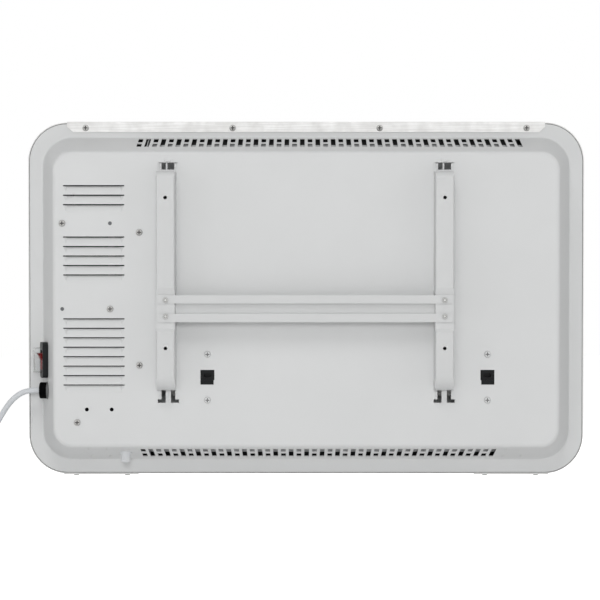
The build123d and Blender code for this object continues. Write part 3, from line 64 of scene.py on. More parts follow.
# %% Camera at the photograph's angle
picture_px = 600
rim_mm_per_px = 1.1532  # what one pixel shows in the plane where the pan meets the tray
camera_distance = 2.2
camera_elevation = 1.3  # degrees above the horizon, looking along +Y
centre_off_px = (6.1, -1.6)  # from the picture's middle to the panel's centre, right and down

panel_low, panel_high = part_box("front_panel")
panel_centre = (panel_low + panel_high) / 2
panel_centre.y = panel_low.y  # the plane where the pan meets the tray

tilt = math.radians(camera_elevation)
forward = Vector((0.0, math.cos(tilt), -math.sin(tilt)))
right = Vector((1.0, 0.0, 0.0))
upward = right.cross(forward)
pixel = rim_mm_per_px * mm
aim = panel_centre - right * centre_off_px[0] * pixel + upward * centre_off_px[1] * pixel

camera_data = bpy.data.cameras.new("camera")
camera_data.lens = camera_data.sensor_width * camera_distance / (picture_px * pixel)
camera = bpy.data.objects.new("camera", camera_data)
camera.location = aim - forward * camera_distance
camera.rotation_euler = forward.to_track_quat("-Z", "Y").to_euler()
bpy.context.scene.collection.objects.link(camera)
bpy.context.scene.camera = camera
print("lens", round(camera_data.lens, 1), "mm at", [round(v, 3) for v in camera.location])

# %% [markdown]
# ## Colours and nodes
# Colours are written as on a paint card, in sRGB hex, but a renderer counts light, so one function turns
# the one into the other. A material is a small net of nodes. One function adds a node with its settings
# and with whatever feeds its sockets, which keeps each recipe short enough to read.


# %% One function for colours and one for nodes
def linear(code):
    """An sRGB hex colour as linear RGBA.

    A channel c over 0.04045 becomes ((c + 0.055) / 1.055) ** 2.4, and a darker one c / 12.92.
    """
    channels = [int(code[i:i + 2], 16) / 255 for i in (0, 2, 4)]
    return tuple(((c + 0.055) / 1.055) ** 2.4 if c > 0.04045 else c / 12.92 for c in channels) + (1.0,)


def add_node(tree, kind, inputs=None, feeds=None, **settings):
    """Adds one node with its links.

    Settings are the node's properties. Inputs give each of its sockets a value, or the output that
    feeds it. Feeds leads each of its own outputs on to the socket of another node.
    """
    node = tree.nodes.new(kind)
    for name, value in settings.items():
        setattr(node, name, value)
    for name, value in (inputs or {}).items():
        if isinstance(value, bpy.types.NodeSocket):
            tree.links.new(value, node.inputs[name])
        else:
            node.inputs[name].default_value = value
    for name, socket in (feeds or {}).items():
        tree.links.new(node.outputs[name], socket)
    return node


def per_metre(size_mm):
    """The scale of a pattern whose features lie that many millimetres apart."""
    return 1000.0 / size_mm


print("the mid grey 808080 is", round(linear("808080")[0], 3), "in linear light")

# %% [markdown]
# ## A finish in layers
# A painter builds a finish up: a ground colour first, and then other colours laid over it here and
# there. These functions do the same. A colour is laid through a mask, a pattern that runs from 0 to 1,
# and each one covers what is there already, so the order of the calls is the order of the coats.


# %% Layers of a finish
def plain_finish(name, colour, roughness, **sockets):
    """A material of one shader and one colour. More sockets are named with _ for each space."""
    material = bpy.data.materials.new(name)
    material.use_nodes = True
    inputs = material.node_tree.nodes["Principled BSDF"].inputs
    inputs["Base Color"].default_value = linear(colour)
    inputs["Roughness"].default_value = roughness
    for socket, value in sockets.items():
        inputs[socket.replace("_", " ")].default_value = value
    return material


def lay_colour(material, mask, colour):
    """Lays a colour over what the material has, as far as the mask says: 0 leaves it, 1 covers it."""
    tree = material.node_tree
    base = tree.nodes["Principled BSDF"].inputs["Base Color"]
    under = base.links[0].from_socket if base.links else tuple(base.default_value)
    # A Mix node has sockets for several kinds of data. The colours' are 6 and 7, and 2 gives the result.
    add_node(
        tree, "ShaderNodeMix", {0: mask, 6: under, 7: linear(colour)}, feeds={2: base}, data_type="RGBA"
    )


print("ready: a ground colour, and colours laid over it")

# %% [markdown]
# Most real surfaces have two scales. The colour drifts a little over centimetres, and the skin has a
# fine grain, which only bends the light, because it is far too fine to be modelled. Both are noise on
# the object's own coordinates, scaled by a real size, so the patterns stay on the part when it moves.


# %% Clouds and grain
def clouded(name, dark, light, roughness, cloud_mm, detail=2.0, stretch=1.0, swing=None, **sockets):
    """A finish whose colour drifts between two shades in clouds of a real size.

    stretch draws the clouds out along X that many times. swing, where given, is how far below and
    above its value the roughness goes with them.
    """
    material = plain_finish(name, dark, roughness, **sockets)
    tree = material.node_tree
    place = add_node(tree, "ShaderNodeTexCoord").outputs["Object"]
    drawn = add_node(tree, "ShaderNodeMapping", {"Vector": place, "Scale": (1 / stretch, 1.0, 1.0)})
    clouds = add_node(
        tree, "ShaderNodeTexNoise",
        {"Vector": drawn.outputs["Vector"], "Scale": per_metre(cloud_mm), "Detail": detail},
    ).outputs["Fac"]
    lay_colour(material, clouds, light)
    if swing:
        below, above = swing
        add_node(
            tree, "ShaderNodeMapRange",
            {"Value": clouds, "To Min": roughness - below, "To Max": roughness + above},
            feeds={"Result": tree.nodes["Principled BSDF"].inputs["Roughness"]},
        )
    return material


def grained(material, grain_mm, depth_mm, detail=2.0):
    """Gives a finish a grain, as if it were a relief depth_mm deep, and gives back the grain's pattern."""
    tree = material.node_tree
    place = add_node(tree, "ShaderNodeTexCoord").outputs["Object"]
    grain = add_node(
        tree, "ShaderNodeTexNoise", {"Vector": place, "Scale": per_metre(grain_mm), "Detail": detail}
    ).outputs["Fac"]
    add_node(
        tree, "ShaderNodeBump", {"Height": grain, "Distance": depth_mm * mm},
        feeds={"Normal": tree.nodes["Principled BSDF"].inputs["Normal"]},
    )
    return grain


print("a cloud of 90 mm has a noise of scale", round(per_metre(90), 1))

# %% [markdown]
# ## Painted steel
# The pan and the bracket are powder-coated steel. Powder melts into a skin with a faint orange peel,
# its waves about a millimetre apart, so highlights are soft and slightly broken. The tray has the
# same paint laid on smoother.


# %% Powder coat
coat_cloud_mm = 90
peel_swing = (0.04, 0.06)


def powder_coat(name, dark, light, roughness, peel_mm, peel_depth_mm):
    """Powder coat on steel: two near greys in wide clouds, and the orange peel as grain.

    The roughness runs with the peel, from peel_swing's first value under its own to the second over it.
    """
    material = clouded(name, dark, light, roughness, coat_cloud_mm)
    peel = grained(material, peel_mm, peel_depth_mm, detail=1.0)
    tree = material.node_tree
    below, above = peel_swing
    add_node(
        tree, "ShaderNodeMapRange",
        {"Value": peel, "To Min": roughness - below, "To Max": roughness + above},
        feeds={"Result": tree.nodes["Principled BSDF"].inputs["Roughness"]},
    )
    return material


# The pan's coat is a plain light grey with a soft sheen, and the bracket's is a shade darker.
casing_paint = powder_coat("powder coat, light grey", "CACBCB", "D0D1D1", 0.42, 1.1, 0.012)
bracket_paint = powder_coat("powder coat, bracket", "C4C5C5", "CACBCB", 0.40, 1.1, 0.012)
# The tray is what people see, so its paint is warmer and glossier, with a long and shallow peel.
panel_paint = powder_coat("smooth paint, front panel", "D6D6D4", "D9D9D8", 0.3, 2.2, 0.006)
print("powder coat for the casing, the bracket and the front panel")

# %% [markdown]
# The pan's inside gets a near-black painted shade in place of the light grey coat, for the shade in its
# deep cavity, which is why the grilles look black. The pan is one solid, so a mask tells its two sides
# apart. On each side of the middle, and at the back, a face of the outside has a normal that points
# away from the middle, and a face of the inside has one that points towards it.

# %% Painted shade inside the pan
painted_shade = "1B1C1D"
turned_in = -0.05  # a face whose normal points away from the middle by less than this is inside
seen_behind = -0.12  # a face whose normal has less than this of +Y shows from behind, and is coated

tree = casing_paint.node_tree
place = add_node(tree, "ShaderNodeTexCoord").outputs
from_centre = add_node(
    tree, "ShaderNodeVectorMath", {0: place["Object"], 1: panel_centre}, operation="SUBTRACT"
)
side = add_node(tree, "ShaderNodeVectorMath", {0: from_centre.outputs["Vector"]}, operation="SIGN")
away = add_node(
    tree, "ShaderNodeVectorMath",
    {0: side.outputs["Vector"], 1: (1.0, 0.0, 1.0), 2: (0.0, -1.0, 0.0)}, operation="MULTIPLY_ADD",
)  # the signs of X and Z, and always -Y
outward = add_node(
    tree, "ShaderNodeVectorMath", {0: away.outputs["Vector"], 1: place["Normal"]},
    operation="DOT_PRODUCT",
)
to_front = add_node(
    tree, "ShaderNodeVectorMath", {0: place["Normal"], 1: (0.0, 1.0, 0.0)}, operation="DOT_PRODUCT"
)
inside = add_node(
    tree, "ShaderNodeMath", {0: outward.outputs["Value"], 1: turned_in}, operation="LESS_THAN"
)
hidden = add_node(
    tree, "ShaderNodeMath", {0: to_front.outputs["Value"], 1: seen_behind}, operation="GREATER_THAN"
)
painted_shade_inside = add_node(
    tree, "ShaderNodeMath", {0: inside.outputs["Value"], 1: hidden.outputs["Value"]}, operation="MULTIPLY"
)
# the near-black painted shade goes on the inside faces that don't show from behind
lay_colour(casing_paint, painted_shade_inside.outputs["Value"], painted_shade)
print("primer inside the pan")

# %% [markdown]
# The cup in the left wall in which the cord's gland sits gets a painted shade, darker than the wall
# round it, for the shade that falls into the cup. Its mask is a cylinder: the distance from the gland's
# axis, which runs along X.

# %% Painted shade in the gland's cup
cup_painted_shade = "58595A"
gland_exit = (-302.6, 65.0, -134.4)  # in mm, where the cord leaves the gland, on its axis
cup_r = 10.15
left_wall_x = -270.0  # the left wall lies wholly to the left of this

axis_point = Vector(gland_exit) * mm
from_point = add_node(
    tree, "ShaderNodeVectorMath", {0: place["Object"], 1: axis_point}, operation="SUBTRACT"
)
across_axis = add_node(
    tree, "ShaderNodeVectorMath", {0: from_point.outputs["Vector"], 1: (0.0, 1.0, 1.0)},
    operation="MULTIPLY",
)
from_axis = add_node(
    tree, "ShaderNodeVectorMath", {0: across_axis.outputs["Vector"]}, operation="LENGTH"
)
near_axis = add_node(
    tree, "ShaderNodeMath", {0: from_axis.outputs["Value"], 1: cup_r * mm}, operation="LESS_THAN"
)
along_x = add_node(
    tree, "ShaderNodeVectorMath", {0: place["Object"], 1: (1.0, 0.0, 0.0)}, operation="DOT_PRODUCT"
)
at_left = add_node(
    tree, "ShaderNodeMath", {0: along_x.outputs["Value"], 1: left_wall_x * mm}, operation="LESS_THAN"
)
in_cup = add_node(
    tree, "ShaderNodeMath", {0: near_axis.outputs["Value"], 1: at_left.outputs["Value"]},
    operation="MULTIPLY",
)
# the cup's painted shade goes where both masks hold
lay_colour(casing_paint, in_cup.outputs["Value"], cup_painted_shade)
print("painted shade within", cup_r, "mm of the gland's axis")

# %% [markdown]
# The tray's inside gets the same near-black painted shade. Its outline is a rectangle with round
# corners, and there is a short formula for the distance to such a shape: fold the four quarters onto
# one, measure how far a point lies past the corner's centre in X and in Z, but never less than nothing,
# and take the length of that. The tray's inside is where that length is under the inner radius of the
# corner.

# %% Painted shade inside the tray
tray_corner_r = 45.0 * mm
tray_skin = 1.2 * mm
ignore_y = 1.0  # a reach in Y that nothing on the tray goes past

half_tray = (panel_high - panel_low) / 2
corner_centre = (half_tray.x - tray_corner_r, ignore_y, half_tray.z - tray_corner_r)
tree = panel_paint.node_tree
place = add_node(tree, "ShaderNodeTexCoord").outputs
from_centre = add_node(
    tree, "ShaderNodeVectorMath", {0: place["Object"], 1: panel_centre}, operation="SUBTRACT"
)
folded = add_node(
    tree, "ShaderNodeVectorMath", {0: from_centre.outputs["Vector"]}, operation="ABSOLUTE"
)
past_centre = add_node(
    tree, "ShaderNodeVectorMath", {0: folded.outputs["Vector"], 1: corner_centre}, operation="SUBTRACT"
)
past = add_node(
    tree, "ShaderNodeVectorMath", {0: past_centre.outputs["Vector"], 1: (0.0, 0.0, 0.0)},
    operation="MAXIMUM",
)
reach = add_node(tree, "ShaderNodeVectorMath", {0: past.outputs["Vector"]}, operation="LENGTH")
within_edge = add_node(
    tree, "ShaderNodeMath", {0: reach.outputs["Value"], 1: tray_corner_r - tray_skin},
    operation="LESS_THAN",
)
along_y = add_node(
    tree, "ShaderNodeVectorMath", {0: place["Object"], 1: (0.0, 1.0, 0.0)}, operation="DOT_PRODUCT"
)
behind_face = add_node(
    tree, "ShaderNodeMath", {0: along_y.outputs["Value"], 1: panel_high.y - tray_skin},
    operation="LESS_THAN",
)
inside = add_node(
    tree, "ShaderNodeMath", {0: within_edge.outputs["Value"], 1: behind_face.outputs["Value"]},
    operation="MULTIPLY",
)
# the painted shade goes on the tray's inside
lay_colour(panel_paint, inside.outputs["Value"], painted_shade)
print("primer inside the tray")

# %% [markdown]
# ## Bare and plated metal
# The strip along the top is bare aluminium, brushed along its length. A brush line is about sixty times
# as long as it is wide, so its noise is stretched along X, and hands and weather leave blotches over
# the lines. The product of two noises seldom goes high, so its range is stretched until it shows.
# To the eye the strip is a bright and slightly mottled edge over the matt pan.

# %% Brushed aluminium
brush_line_mm = 0.7  # real lines are a tenth of a millimetre apart, which would be too fine to show
brush_stretch = 60
brush_depth_mm = 0.01
brush_strength = 0.6
blotch_mm = 14
blotch_swing = (0.08, 0.10)  # how far the roughness goes below and above its value with the blotches
mottle_range = (0.08, 0.42)
strip_roughness = 0.34

strip_metal = plain_finish("brushed aluminium", "DEDDDB", strip_roughness, Metallic=1.0)
tree = strip_metal.node_tree
strip_inputs = tree.nodes["Principled BSDF"].inputs
place = add_node(tree, "ShaderNodeTexCoord").outputs["Object"]
drawn = add_node(tree, "ShaderNodeMapping", {"Vector": place, "Scale": (1 / brush_stretch, 1.0, 1.0)})
lines = add_node(
    tree, "ShaderNodeTexNoise",
    {"Vector": drawn.outputs["Vector"], "Scale": per_metre(brush_line_mm), "Detail": 3.0},
).outputs["Fac"]
add_node(
    tree, "ShaderNodeBump",
    {"Height": lines, "Distance": brush_depth_mm * mm, "Strength": brush_strength},
    feeds={"Normal": strip_inputs["Normal"]},
)
blotches = add_node(
    tree, "ShaderNodeTexNoise", {"Vector": place, "Scale": per_metre(blotch_mm), "Detail": 3.0}
).outputs["Fac"]
smoothest, dullest = strip_roughness - blotch_swing[0], strip_roughness + blotch_swing[1]
add_node(
    tree, "ShaderNodeMapRange", {"Value": blotches, "To Min": smoothest, "To Max": dullest},
    feeds={"Result": strip_inputs["Roughness"]},
)
both = add_node(tree, "ShaderNodeMath", {0: lines, 1: blotches}, operation="MULTIPLY")
mottle = add_node(
    tree, "ShaderNodeMapRange",
    {"Value": both.outputs["Value"], "From Min": mottle_range[0], "From Max": mottle_range[1]},
)
lay_colour(strip_metal, mottle.outputs["Result"], "FFFFFE")
print("aluminium brushed in lines", brush_line_mm, "mm apart")

# %% [markdown]
# Zinc and nickel plate are bright and slightly cloudy. The sheet parts inside the casing are drawn,
# dipped or galvanised. Galvanised steel is known by its spangle, flat crystals some millimetres wide,
# and cells of a Voronoi pattern are just such crystals.


# %% Plated and coated metals
plate_cloud_mm = 1.6  # the crystals of real plate are far too fine to show, so they are drawn this wide
plate_swing = (0.08, 0.1)


def plated(name, dark, light, roughness):
    """Plate on steel or brass: a bright metal, whose colour and roughness are cloudy."""
    return clouded(
        name, dark, light, roughness, plate_cloud_mm, detail=3.0, swing=plate_swing, Metallic=1.0
    )


# Zinc is a cool grey with a slight glitter, and nickel is warmer and nearer to a mirror.
zinc_plate = plated("zinc plate, screws", "A9A8A6", "C9C8C5", 0.3)
nickel_plate = plated("nickel plate, pins", "B9B4A6", "D8D3C6", 0.22)
# The die leaves lines along the element, a hundred times as long as they are wide.
element_metal = clouded(
    "extruded aluminium", "A8A8A7", "C6C6C5", 0.45, cloud_mm=0.8, stretch=100, Metallic=0.85
)
# A hot dip leaves the shield pale and nearly matt, in soft patches.
shield_metal = clouded(
    "aluminised sheet", "BBBDBE", "D2D4D5", 0.5, cloud_mm=20, detail=4.0, Metallic=0.25
)

# Galvanised sheet looks like frost, grey on grey, with each crystal darkest in its middle.
spangle_mm = 7
galvanised = plain_finish("galvanised sheet", "A5A8AA", 0.42, Metallic=0.9)
tree = galvanised.node_tree
place = add_node(tree, "ShaderNodeTexCoord").outputs["Object"]
spangle = add_node(tree, "ShaderNodeTexVoronoi", {"Vector": place, "Scale": per_metre(spangle_mm)})
lay_colour(galvanised, spangle.outputs["Distance"], "C3C6C7")
print("plated, drawn and galvanised metals")

# %% [markdown]
# The bracket's rivets are plated as well. The punch leaves a dimple in each, and a painted shade lies
# along the dimple's edge and the head's, in two rings round the rivet's axis. The four rivets lie alike
# about two planes, so the coordinates are folded there and one pair of rings serves for all.

# %% Rivets with two rings of painted shade
rivet_x = 154.6  # in mm, to each side of the bracket's middle
rivet_z = -39.0  # the height midway between the upper and the lower pair
rivet_half_step = 9.0
shade_rings = ((1.7, 0.5), (3.1, 0.7))  # each ring's radius, and how far it fades to each side

rivet_metal = plain_finish("zinc plate, rivets", "DADAD8", 0.34, Metallic=0.6)
tree = rivet_metal.node_tree
place = add_node(tree, "ShaderNodeTexCoord").outputs["Object"]
from_middle = add_node(
    tree, "ShaderNodeVectorMath", {0: place, 1: (0.0, 0.0, rivet_z * mm)}, operation="SUBTRACT"
)
folded = add_node(
    tree, "ShaderNodeVectorMath", {0: from_middle.outputs["Vector"]}, operation="ABSOLUTE"
)
from_rivet = add_node(
    tree, "ShaderNodeVectorMath",
    {0: folded.outputs["Vector"], 1: (rivet_x * mm, 0.0, rivet_half_step * mm)}, operation="SUBTRACT",
)
across_axis = add_node(
    tree, "ShaderNodeVectorMath", {0: from_rivet.outputs["Vector"], 1: (1.0, 0.0, 1.0)},
    operation="MULTIPLY",
)
from_axis = add_node(
    tree, "ShaderNodeVectorMath", {0: across_axis.outputs["Vector"]}, operation="LENGTH"
)
for ring_r, ring_fade in shade_rings:
    past_ring = add_node(
        tree, "ShaderNodeMath", {0: from_axis.outputs["Value"], 1: ring_r * mm}, operation="SUBTRACT"
    )
    off_ring = add_node(
        tree, "ShaderNodeMath", {0: past_ring.outputs["Value"]}, operation="ABSOLUTE"
    )
    in_ring = add_node(
        tree, "ShaderNodeMapRange",
        {"Value": off_ring.outputs["Value"], "From Max": ring_fade * mm, "To Min": 1.0, "To Max": 0.0},
    )
    # each ring is painted shade at an edge of the rivet
    lay_colour(rivet_metal, in_ring.outputs["Result"], "4E4E4D")
print("rings of", [ring_r for ring_r, ring_fade in shade_rings], "mm on the rivets")

# %% [markdown]
# ## Plastics
# Moulded plastic takes the texture of its mould. ABS and nylon parts come from spark-eroded moulds,
# whose grain breaks a highlight up into a dull sheen. The lens and the control panel's frame come from
# polished moulds, so they have only a long, very shallow wave.


# %% Moulded plastics
mould_grain_mm = 0.35  # a real mould's grain is about 0.1 mm, so it is drawn coarser, to show
mould_depth_mm = 0.012
flow_mm = 12  # the shade drifts over this width, as the plastic flowed


def moulded(
    name, dark, light, roughness, grain_mm=mould_grain_mm, depth_mm=mould_depth_mm, **sockets
):
    """Moulded plastic: the mould's grain in relief, and a little variation of shade."""
    material = clouded(name, dark, light, roughness, flow_mm, **sockets)
    grained(material, grain_mm, depth_mm)
    return material


# Black nylon sits in holes and shadow, and throws back next to nothing.
black_nylon = moulded("nylon, black", "020203", "050506", 0.55, Specular_IOR_Level=0.03)
# Glass fibres come up to the skin of the element's holders and make them coarser and a little grey.
filled_nylon = moulded(
    "nylon, glass filled", "0A0B0C", "131516", 0.4, grain_mm=0.8, depth_mm=0.03, Specular_IOR_Level=0.25
)
# Nylon without black in it is an even, soft grey or white.
grey_nylon = moulded("nylon, grey", "5E6062", "6A6C6E", 0.45)
pale_nylon = moulded("nylon, natural white", "D2D4D6", "DEE0E2", 0.45)
sensor_nylon = moulded("nylon, natural grey", "CED0D2", "D9DBDD", 0.45)
# ABS is satin on the switch's bezel and the buttons, and mirrors the room in the control frame.
dark_abs = moulded("ABS, charcoal", "181A1B", "212324", 0.42, Specular_IOR_Level=0.2)
gloss_abs = moulded("ABS, gloss black", "0C0C0D", "141415", 0.14, grain_mm=6.0, depth_mm=0.003)
button_abs = moulded("ABS, satin grey", "7C7D7E", "8A8B8C", 0.35)
# Smoked acrylic hides the display behind it, so it is made opaque, near black and smooth as glass.
smoked_lens = moulded("acrylic, smoked", "08080A", "0C0C0E", 0.06, grain_mm=8.0, depth_mm=0.002)
# The cord's sheath is soft PVC with a long, soft highlight, and silicone is chalkier.
cord_pvc = moulded("PVC, grey sheath", "C3C6C9", "CDD0D3", 0.4)
silicone = moulded("silicone sleeve", "CFCFCA", "DDDDD8", 0.5)
print("nylon, ABS, acrylic, PVC and silicone")

# %% [markdown]
# Two finishes let light through. The rocker is clear red plastic: a little transmission gives it depth
# and keeps it from looking like paint. The splash cover is soft clear vinyl with a slight ripple. It is
# so thin that it hardly bends light, so its index of refraction is low, and a low alpha lets the wall
# behind it show.

# %% Clear plastics, ceramic and the electronics
red_clear = moulded(
    "polycarbonate, clear red", "640B0E", "841316", 0.34, grain_mm=5.0, depth_mm=0.004,
    Transmission_Weight=0.08, Specular_IOR_Level=0.12,
)
clear_vinyl = plain_finish(
    "vinyl, clear", "F4F6F6", 0.08, Transmission_Weight=1.0, IOR=1.3, Alpha=0.35
)
grained(clear_vinyl, grain_mm=4, depth_mm=0.05, detail=1.0)
# A glaze is smooth and a little wavy, so ceramic shows small clear highlights on a warm white.
ceramic = moulded("glazed ceramic", "DAD7CE", "E6E3DB", 0.25, grain_mm=3.0, depth_mm=0.01)
# The parts of the electronics are plain satin cases on boards with a glossy green coat.
component_case = moulded("epoxy case, black", "15171C", "20232A", 0.35)
board_mask = moulded("coated board, green", "0F3B1E", "16522B", 0.3, grain_mm=1.4)
print("clear plastics, ceramic, cases and boards")

# %% [markdown]
# ## Finishes on the solids
# Each solid keeps its shape and gets the finish that its real counterpart has. A dictionary from
# finish to solids is easier to check against the parts list than one line for each. The solids that it
# leaves out are replaced below.

# %% Put the finishes on the solids
solids_of = {
    casing_paint: ["rear_casing"],
    panel_paint: ["front_panel", "foot_plate_left", "foot_plate_right"],
    bracket_paint: ["bracket_upright_left", "bracket_upright_right", "bracket_crossbar"],
    strip_metal: ["top_strip"],
    rivet_metal: ["bracket_rivets"],
    zinc_plate: ["thermal_cutout", "earth_tag"],
    nickel_plate: ["plug_pins", "plug_clips"],
    galvanised: ["support_straps", "divider_wall"],
    shield_metal: ["heat_shield"],
    element_metal: ["heating_element"],
    black_nylon: ["lead_grommet", "tip_switch", "room_sensor", "cord_gland", "gland_nut", "cord_tie"],
    filled_nylon: ["element_holder_left", "element_holder_right"],
    grey_nylon: ["board_holder"],
    pale_nylon: ["terminal_block"],
    sensor_nylon: ["sensor_sleeve", "sensor_bush"],
    dark_abs: ["switch_housing"],
    gloss_abs: ["control_frame"],
    button_abs: ["button_power", "button_mode", "button_up", "button_down"],
    smoked_lens: ["display_lens"],
    cord_pvc: ["supply_lead", "plug_body"],
    silicone: ["element_leads"],
    red_clear: ["switch_rocker"],
    clear_vinyl: ["switch_cover"],
    ceramic: ["element_insulators"],
    component_case: ["relay", "transformer", "capacitor", "display_module", "key_switches"],
    board_mask: ["power_board", "control_board"],
}
left_over = set(nodes)
for finish, names in solids_of.items():
    for name in names:
        materials = nodes[name].data.materials
        materials.clear()
        materials.append(finish)
        left_over.remove(name)
print("to be replaced:", sorted(left_over))

# %% [markdown]
# ## Screws
# The casing, the element's supports, the strip and the feet are held by pan-head tapping screws with a
# cross recess. One screw is a surface of turning: a profile from the top of its head to its point,
# swept round in a full circle. Two things break the symmetry: the cross pressed into the head, and the
# thread, whose groove climbs one pitch in a turn. Both are depths worked out for every point of the
# grid at once.


# %% The cross in a screw's head
cross_arm = 2.25  # all of a screw's sizes are in mm
cross_width = 0.95
cross_depth = 1.0
cross_soft = 0.16  # the walls of the cross go down over this width


def cross_share(x, y):
    """How deep points lie in the cross, from 0 to 1.

    A point is in one bar of the cross where it is within half a width of the bar's axis and within an
    arm of the middle. The share falls evenly over cross_soft at each wall, and the deeper bar counts.
    """
    def within(distance, limit):
        return np.clip((limit - np.abs(distance)) / cross_soft + 0.5, 0.0, 1.0)
    along_x = within(y, cross_width / 2) * within(x, cross_arm)
    along_y = within(x, cross_width / 2) * within(y, cross_arm)
    return np.maximum(along_x, along_y)


print("cross recess", 2 * cross_arm, "mm across")

# %% [markdown]
# The grid has one row for each point of the profile and one column for each step of the turn. The shade
# of each point, which the finish reads later, comes from the same arrays.

# %% The screw's surface
head_r = 3.65
head_h = 1.9
head_fullness = 0.6  # the power that makes the dome fuller towards its edge than a ball is
shank_r = 1.5
screw_len = 8.0
point_len = 1.8
point_share = 0.12  # of the shank's radius, at the tip
least_r = 0.05
thread_pitch = 1.1
thread_depth = 0.28
edge_from = 0.82  # share of the head's radius where the painted shade of its steep edge begins
edge_shade = 0.6  # how dark that edge is, where the cross is 1
head_rows = 14
shank_rows = 33
columns = 48


def screw_surface():
    """Points and shade of a screw that stands on its seat at the origin, with its head up Z.

    The head's profile is a superellipse, r = R * sin(u) ** fullness and z = H * cos(u). The shank's
    radius is less by a triangle wave of z / pitch + angle / turn, which is the thread, and it tapers
    evenly over the point.
    """
    u = np.linspace(0.0, np.pi / 2, head_rows + 1)[1:]
    head = np.stack([head_r * np.sin(u) ** head_fullness, head_h * np.cos(u)], axis=1)
    down = np.linspace(0.0, -screw_len, shank_rows + 1)[:-1]
    taper = np.clip((screw_len + down) / point_len, point_share, 1.0)
    profile = np.concatenate([head, np.stack([shank_r * taper, down], axis=1)])

    row = np.arange(len(profile))[:, None]
    r, a = np.meshgrid(profile[:, 0], np.arange(columns) / columns * 2 * np.pi, indexing="ij")
    z = np.repeat(profile[:, 1:], columns, axis=1)
    wave = np.abs((z / thread_pitch + a / (2 * np.pi)) % 1.0 - 0.5) * 2
    r = np.maximum(np.where(row > head_rows, r - thread_depth * wave, r), least_r)
    x, y = r * np.cos(a), r * np.sin(a)
    in_cross = np.where(row < head_rows, cross_share(x, y), 0.0)
    points = np.stack([x, y, z - cross_depth * in_cross], axis=2).reshape(-1, 3)
    ends = [(0.0, 0.0, head_h - cross_depth), (0.0, 0.0, -screw_len)]
    points = np.concatenate([points, ends])

    near_edge = np.clip((np.hypot(x, y) / head_r - edge_from) / (1 - edge_from), 0.0, 1.0)
    shade = np.maximum(in_cross, edge_shade * near_edge * (row < head_rows))
    shade = np.concatenate([shade.ravel(), [1.0, 0.0]])
    return points, shade


screw_points, screw_shade = screw_surface()
print("one screw:", len(screw_points), "points")

# %% [markdown]
# The faces join each point to the next in its row and to the two below them, and the last column joins
# the first again. The grid's two open ends, in the middle of the head and at the point, are each closed
# by a fan of triangles, so the screw is a closed shell.


# %% The screw's faces
def screw_faces_of(rows):
    """The four-sided faces between the rows, and the fans round the last two points, top and tip."""
    row, column = np.meshgrid(np.arange(rows - 1), np.arange(columns), indexing="ij")
    here = row * columns + column
    beside = row * columns + (column + 1) % columns
    quads = np.stack([here, here + columns, beside + columns, beside], axis=2).reshape(-1, 4)
    ring = np.arange(columns)
    next_on_ring = (ring + 1) % columns
    top, tip = rows * columns, rows * columns + 1
    last_row = (rows - 1) * columns
    head_fan = np.stack([np.full(columns, top), ring, next_on_ring], axis=1)
    tip_fan = np.stack([np.full(columns, tip), last_row + next_on_ring, last_row + ring], axis=1)
    return quads.tolist() + head_fan.tolist() + tip_fan.tolist()


screw_faces = screw_faces_of(head_rows + shank_rows)
print("one screw:", len(screw_faces), "faces")

# %% [markdown]
# The zinc is the same all over. A painted shade darkens the cross, and a weaker painted shade the
# head's steep edge. The shade goes into the mesh as an attribute, and the finish lays a dark colour by
# it. The screws of the element's supports have a whiter plate than the others.


# %% The screws' finish
def screw_finish(name, dark, light, shaded, roughness, metallic):
    """Cloudy plate from dark to light, with painted shade laid by the mesh's attribute in_cross."""
    material = clouded(name, dark, light, roughness, plate_cloud_mm, detail=3.0, Metallic=metallic)
    in_cross = add_node(material.node_tree, "ShaderNodeAttribute", attribute_name="in_cross")
    lay_colour(material, in_cross.outputs["Fac"], shaded)
    return material


# The third colour of each finish is its painted shade, for the cross and the head's edge.
screw_zinc = screw_finish(
    "zinc plate, cross-recessed screws", "AEADAB", "DCDBD8", "1A1A1A", 0.3, 0.85
)
screw_white_zinc = screw_finish(
    "white zinc, cross-recessed screws", "CDCECE", "E2E3E3", "6C6D6D", 0.35, 0.5
)
print("two finishes for screws")

# %% [markdown]
# A screw goes where its CAD stand-in is. Each group of screws is one node in the frame, and its box
# tells where the seats are: the heads' undersides lie one head's height in from the box's outer face,
# and the outermost screws of the strip and the feet lie one head's radius inside its ends.


# %% Where the screws go
def box_mm(name):
    """A solid's box in mm: its low corner, its high corner and its middle."""
    low, high = np.array(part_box(name)) / mm
    return low, high, (low + high) / 2


board_half_step = (26.8, 47.95)  # from the board holder's middle to its two screws, in X and Z
divider_x = -185.6
divider_heights = (45.3, -103.5)
earth_spot = (-255.5, -167.8)
support_half_step = 25.7  # from a square window's middle up and down to its screws
foot_step = 59.0  # between the two screws of a foot

casing_y = box_mm("casing_screws")[0][1] + head_h
board_x, _, board_z = box_mm("board_holder")[2]
casing_spots = [
    (board_x - board_half_step[0], board_z + board_half_step[1]),
    (board_x + board_half_step[0], board_z - board_half_step[1]),
    *((divider_x, z) for z in divider_heights),
    earth_spot,
]
windows = [box_mm(name)[2] for name in ("element_holder_left", "element_holder_right")]
support_spots = [(x, z + side * support_half_step) for x, _, z in windows for side in (1, -1)]

strip_low, strip_high, strip_middle = box_mm("strip_screws")
strip_y = strip_low[1] + head_h
strip_spots = [(x, strip_middle[2]) for x in np.linspace(strip_low[0] + head_r, strip_high[0] - head_r, 4)]

foot_low, foot_high, foot_middle = box_mm("foot_screws")
foot_z = foot_low[2] + head_h
first_x, last_x = foot_low[0] + head_r, foot_high[0] - head_r
foot_xs = [first_x, first_x + foot_step, last_x - foot_step, last_x]
print(len(casing_spots + support_spots + strip_spots + foot_xs), "seats")

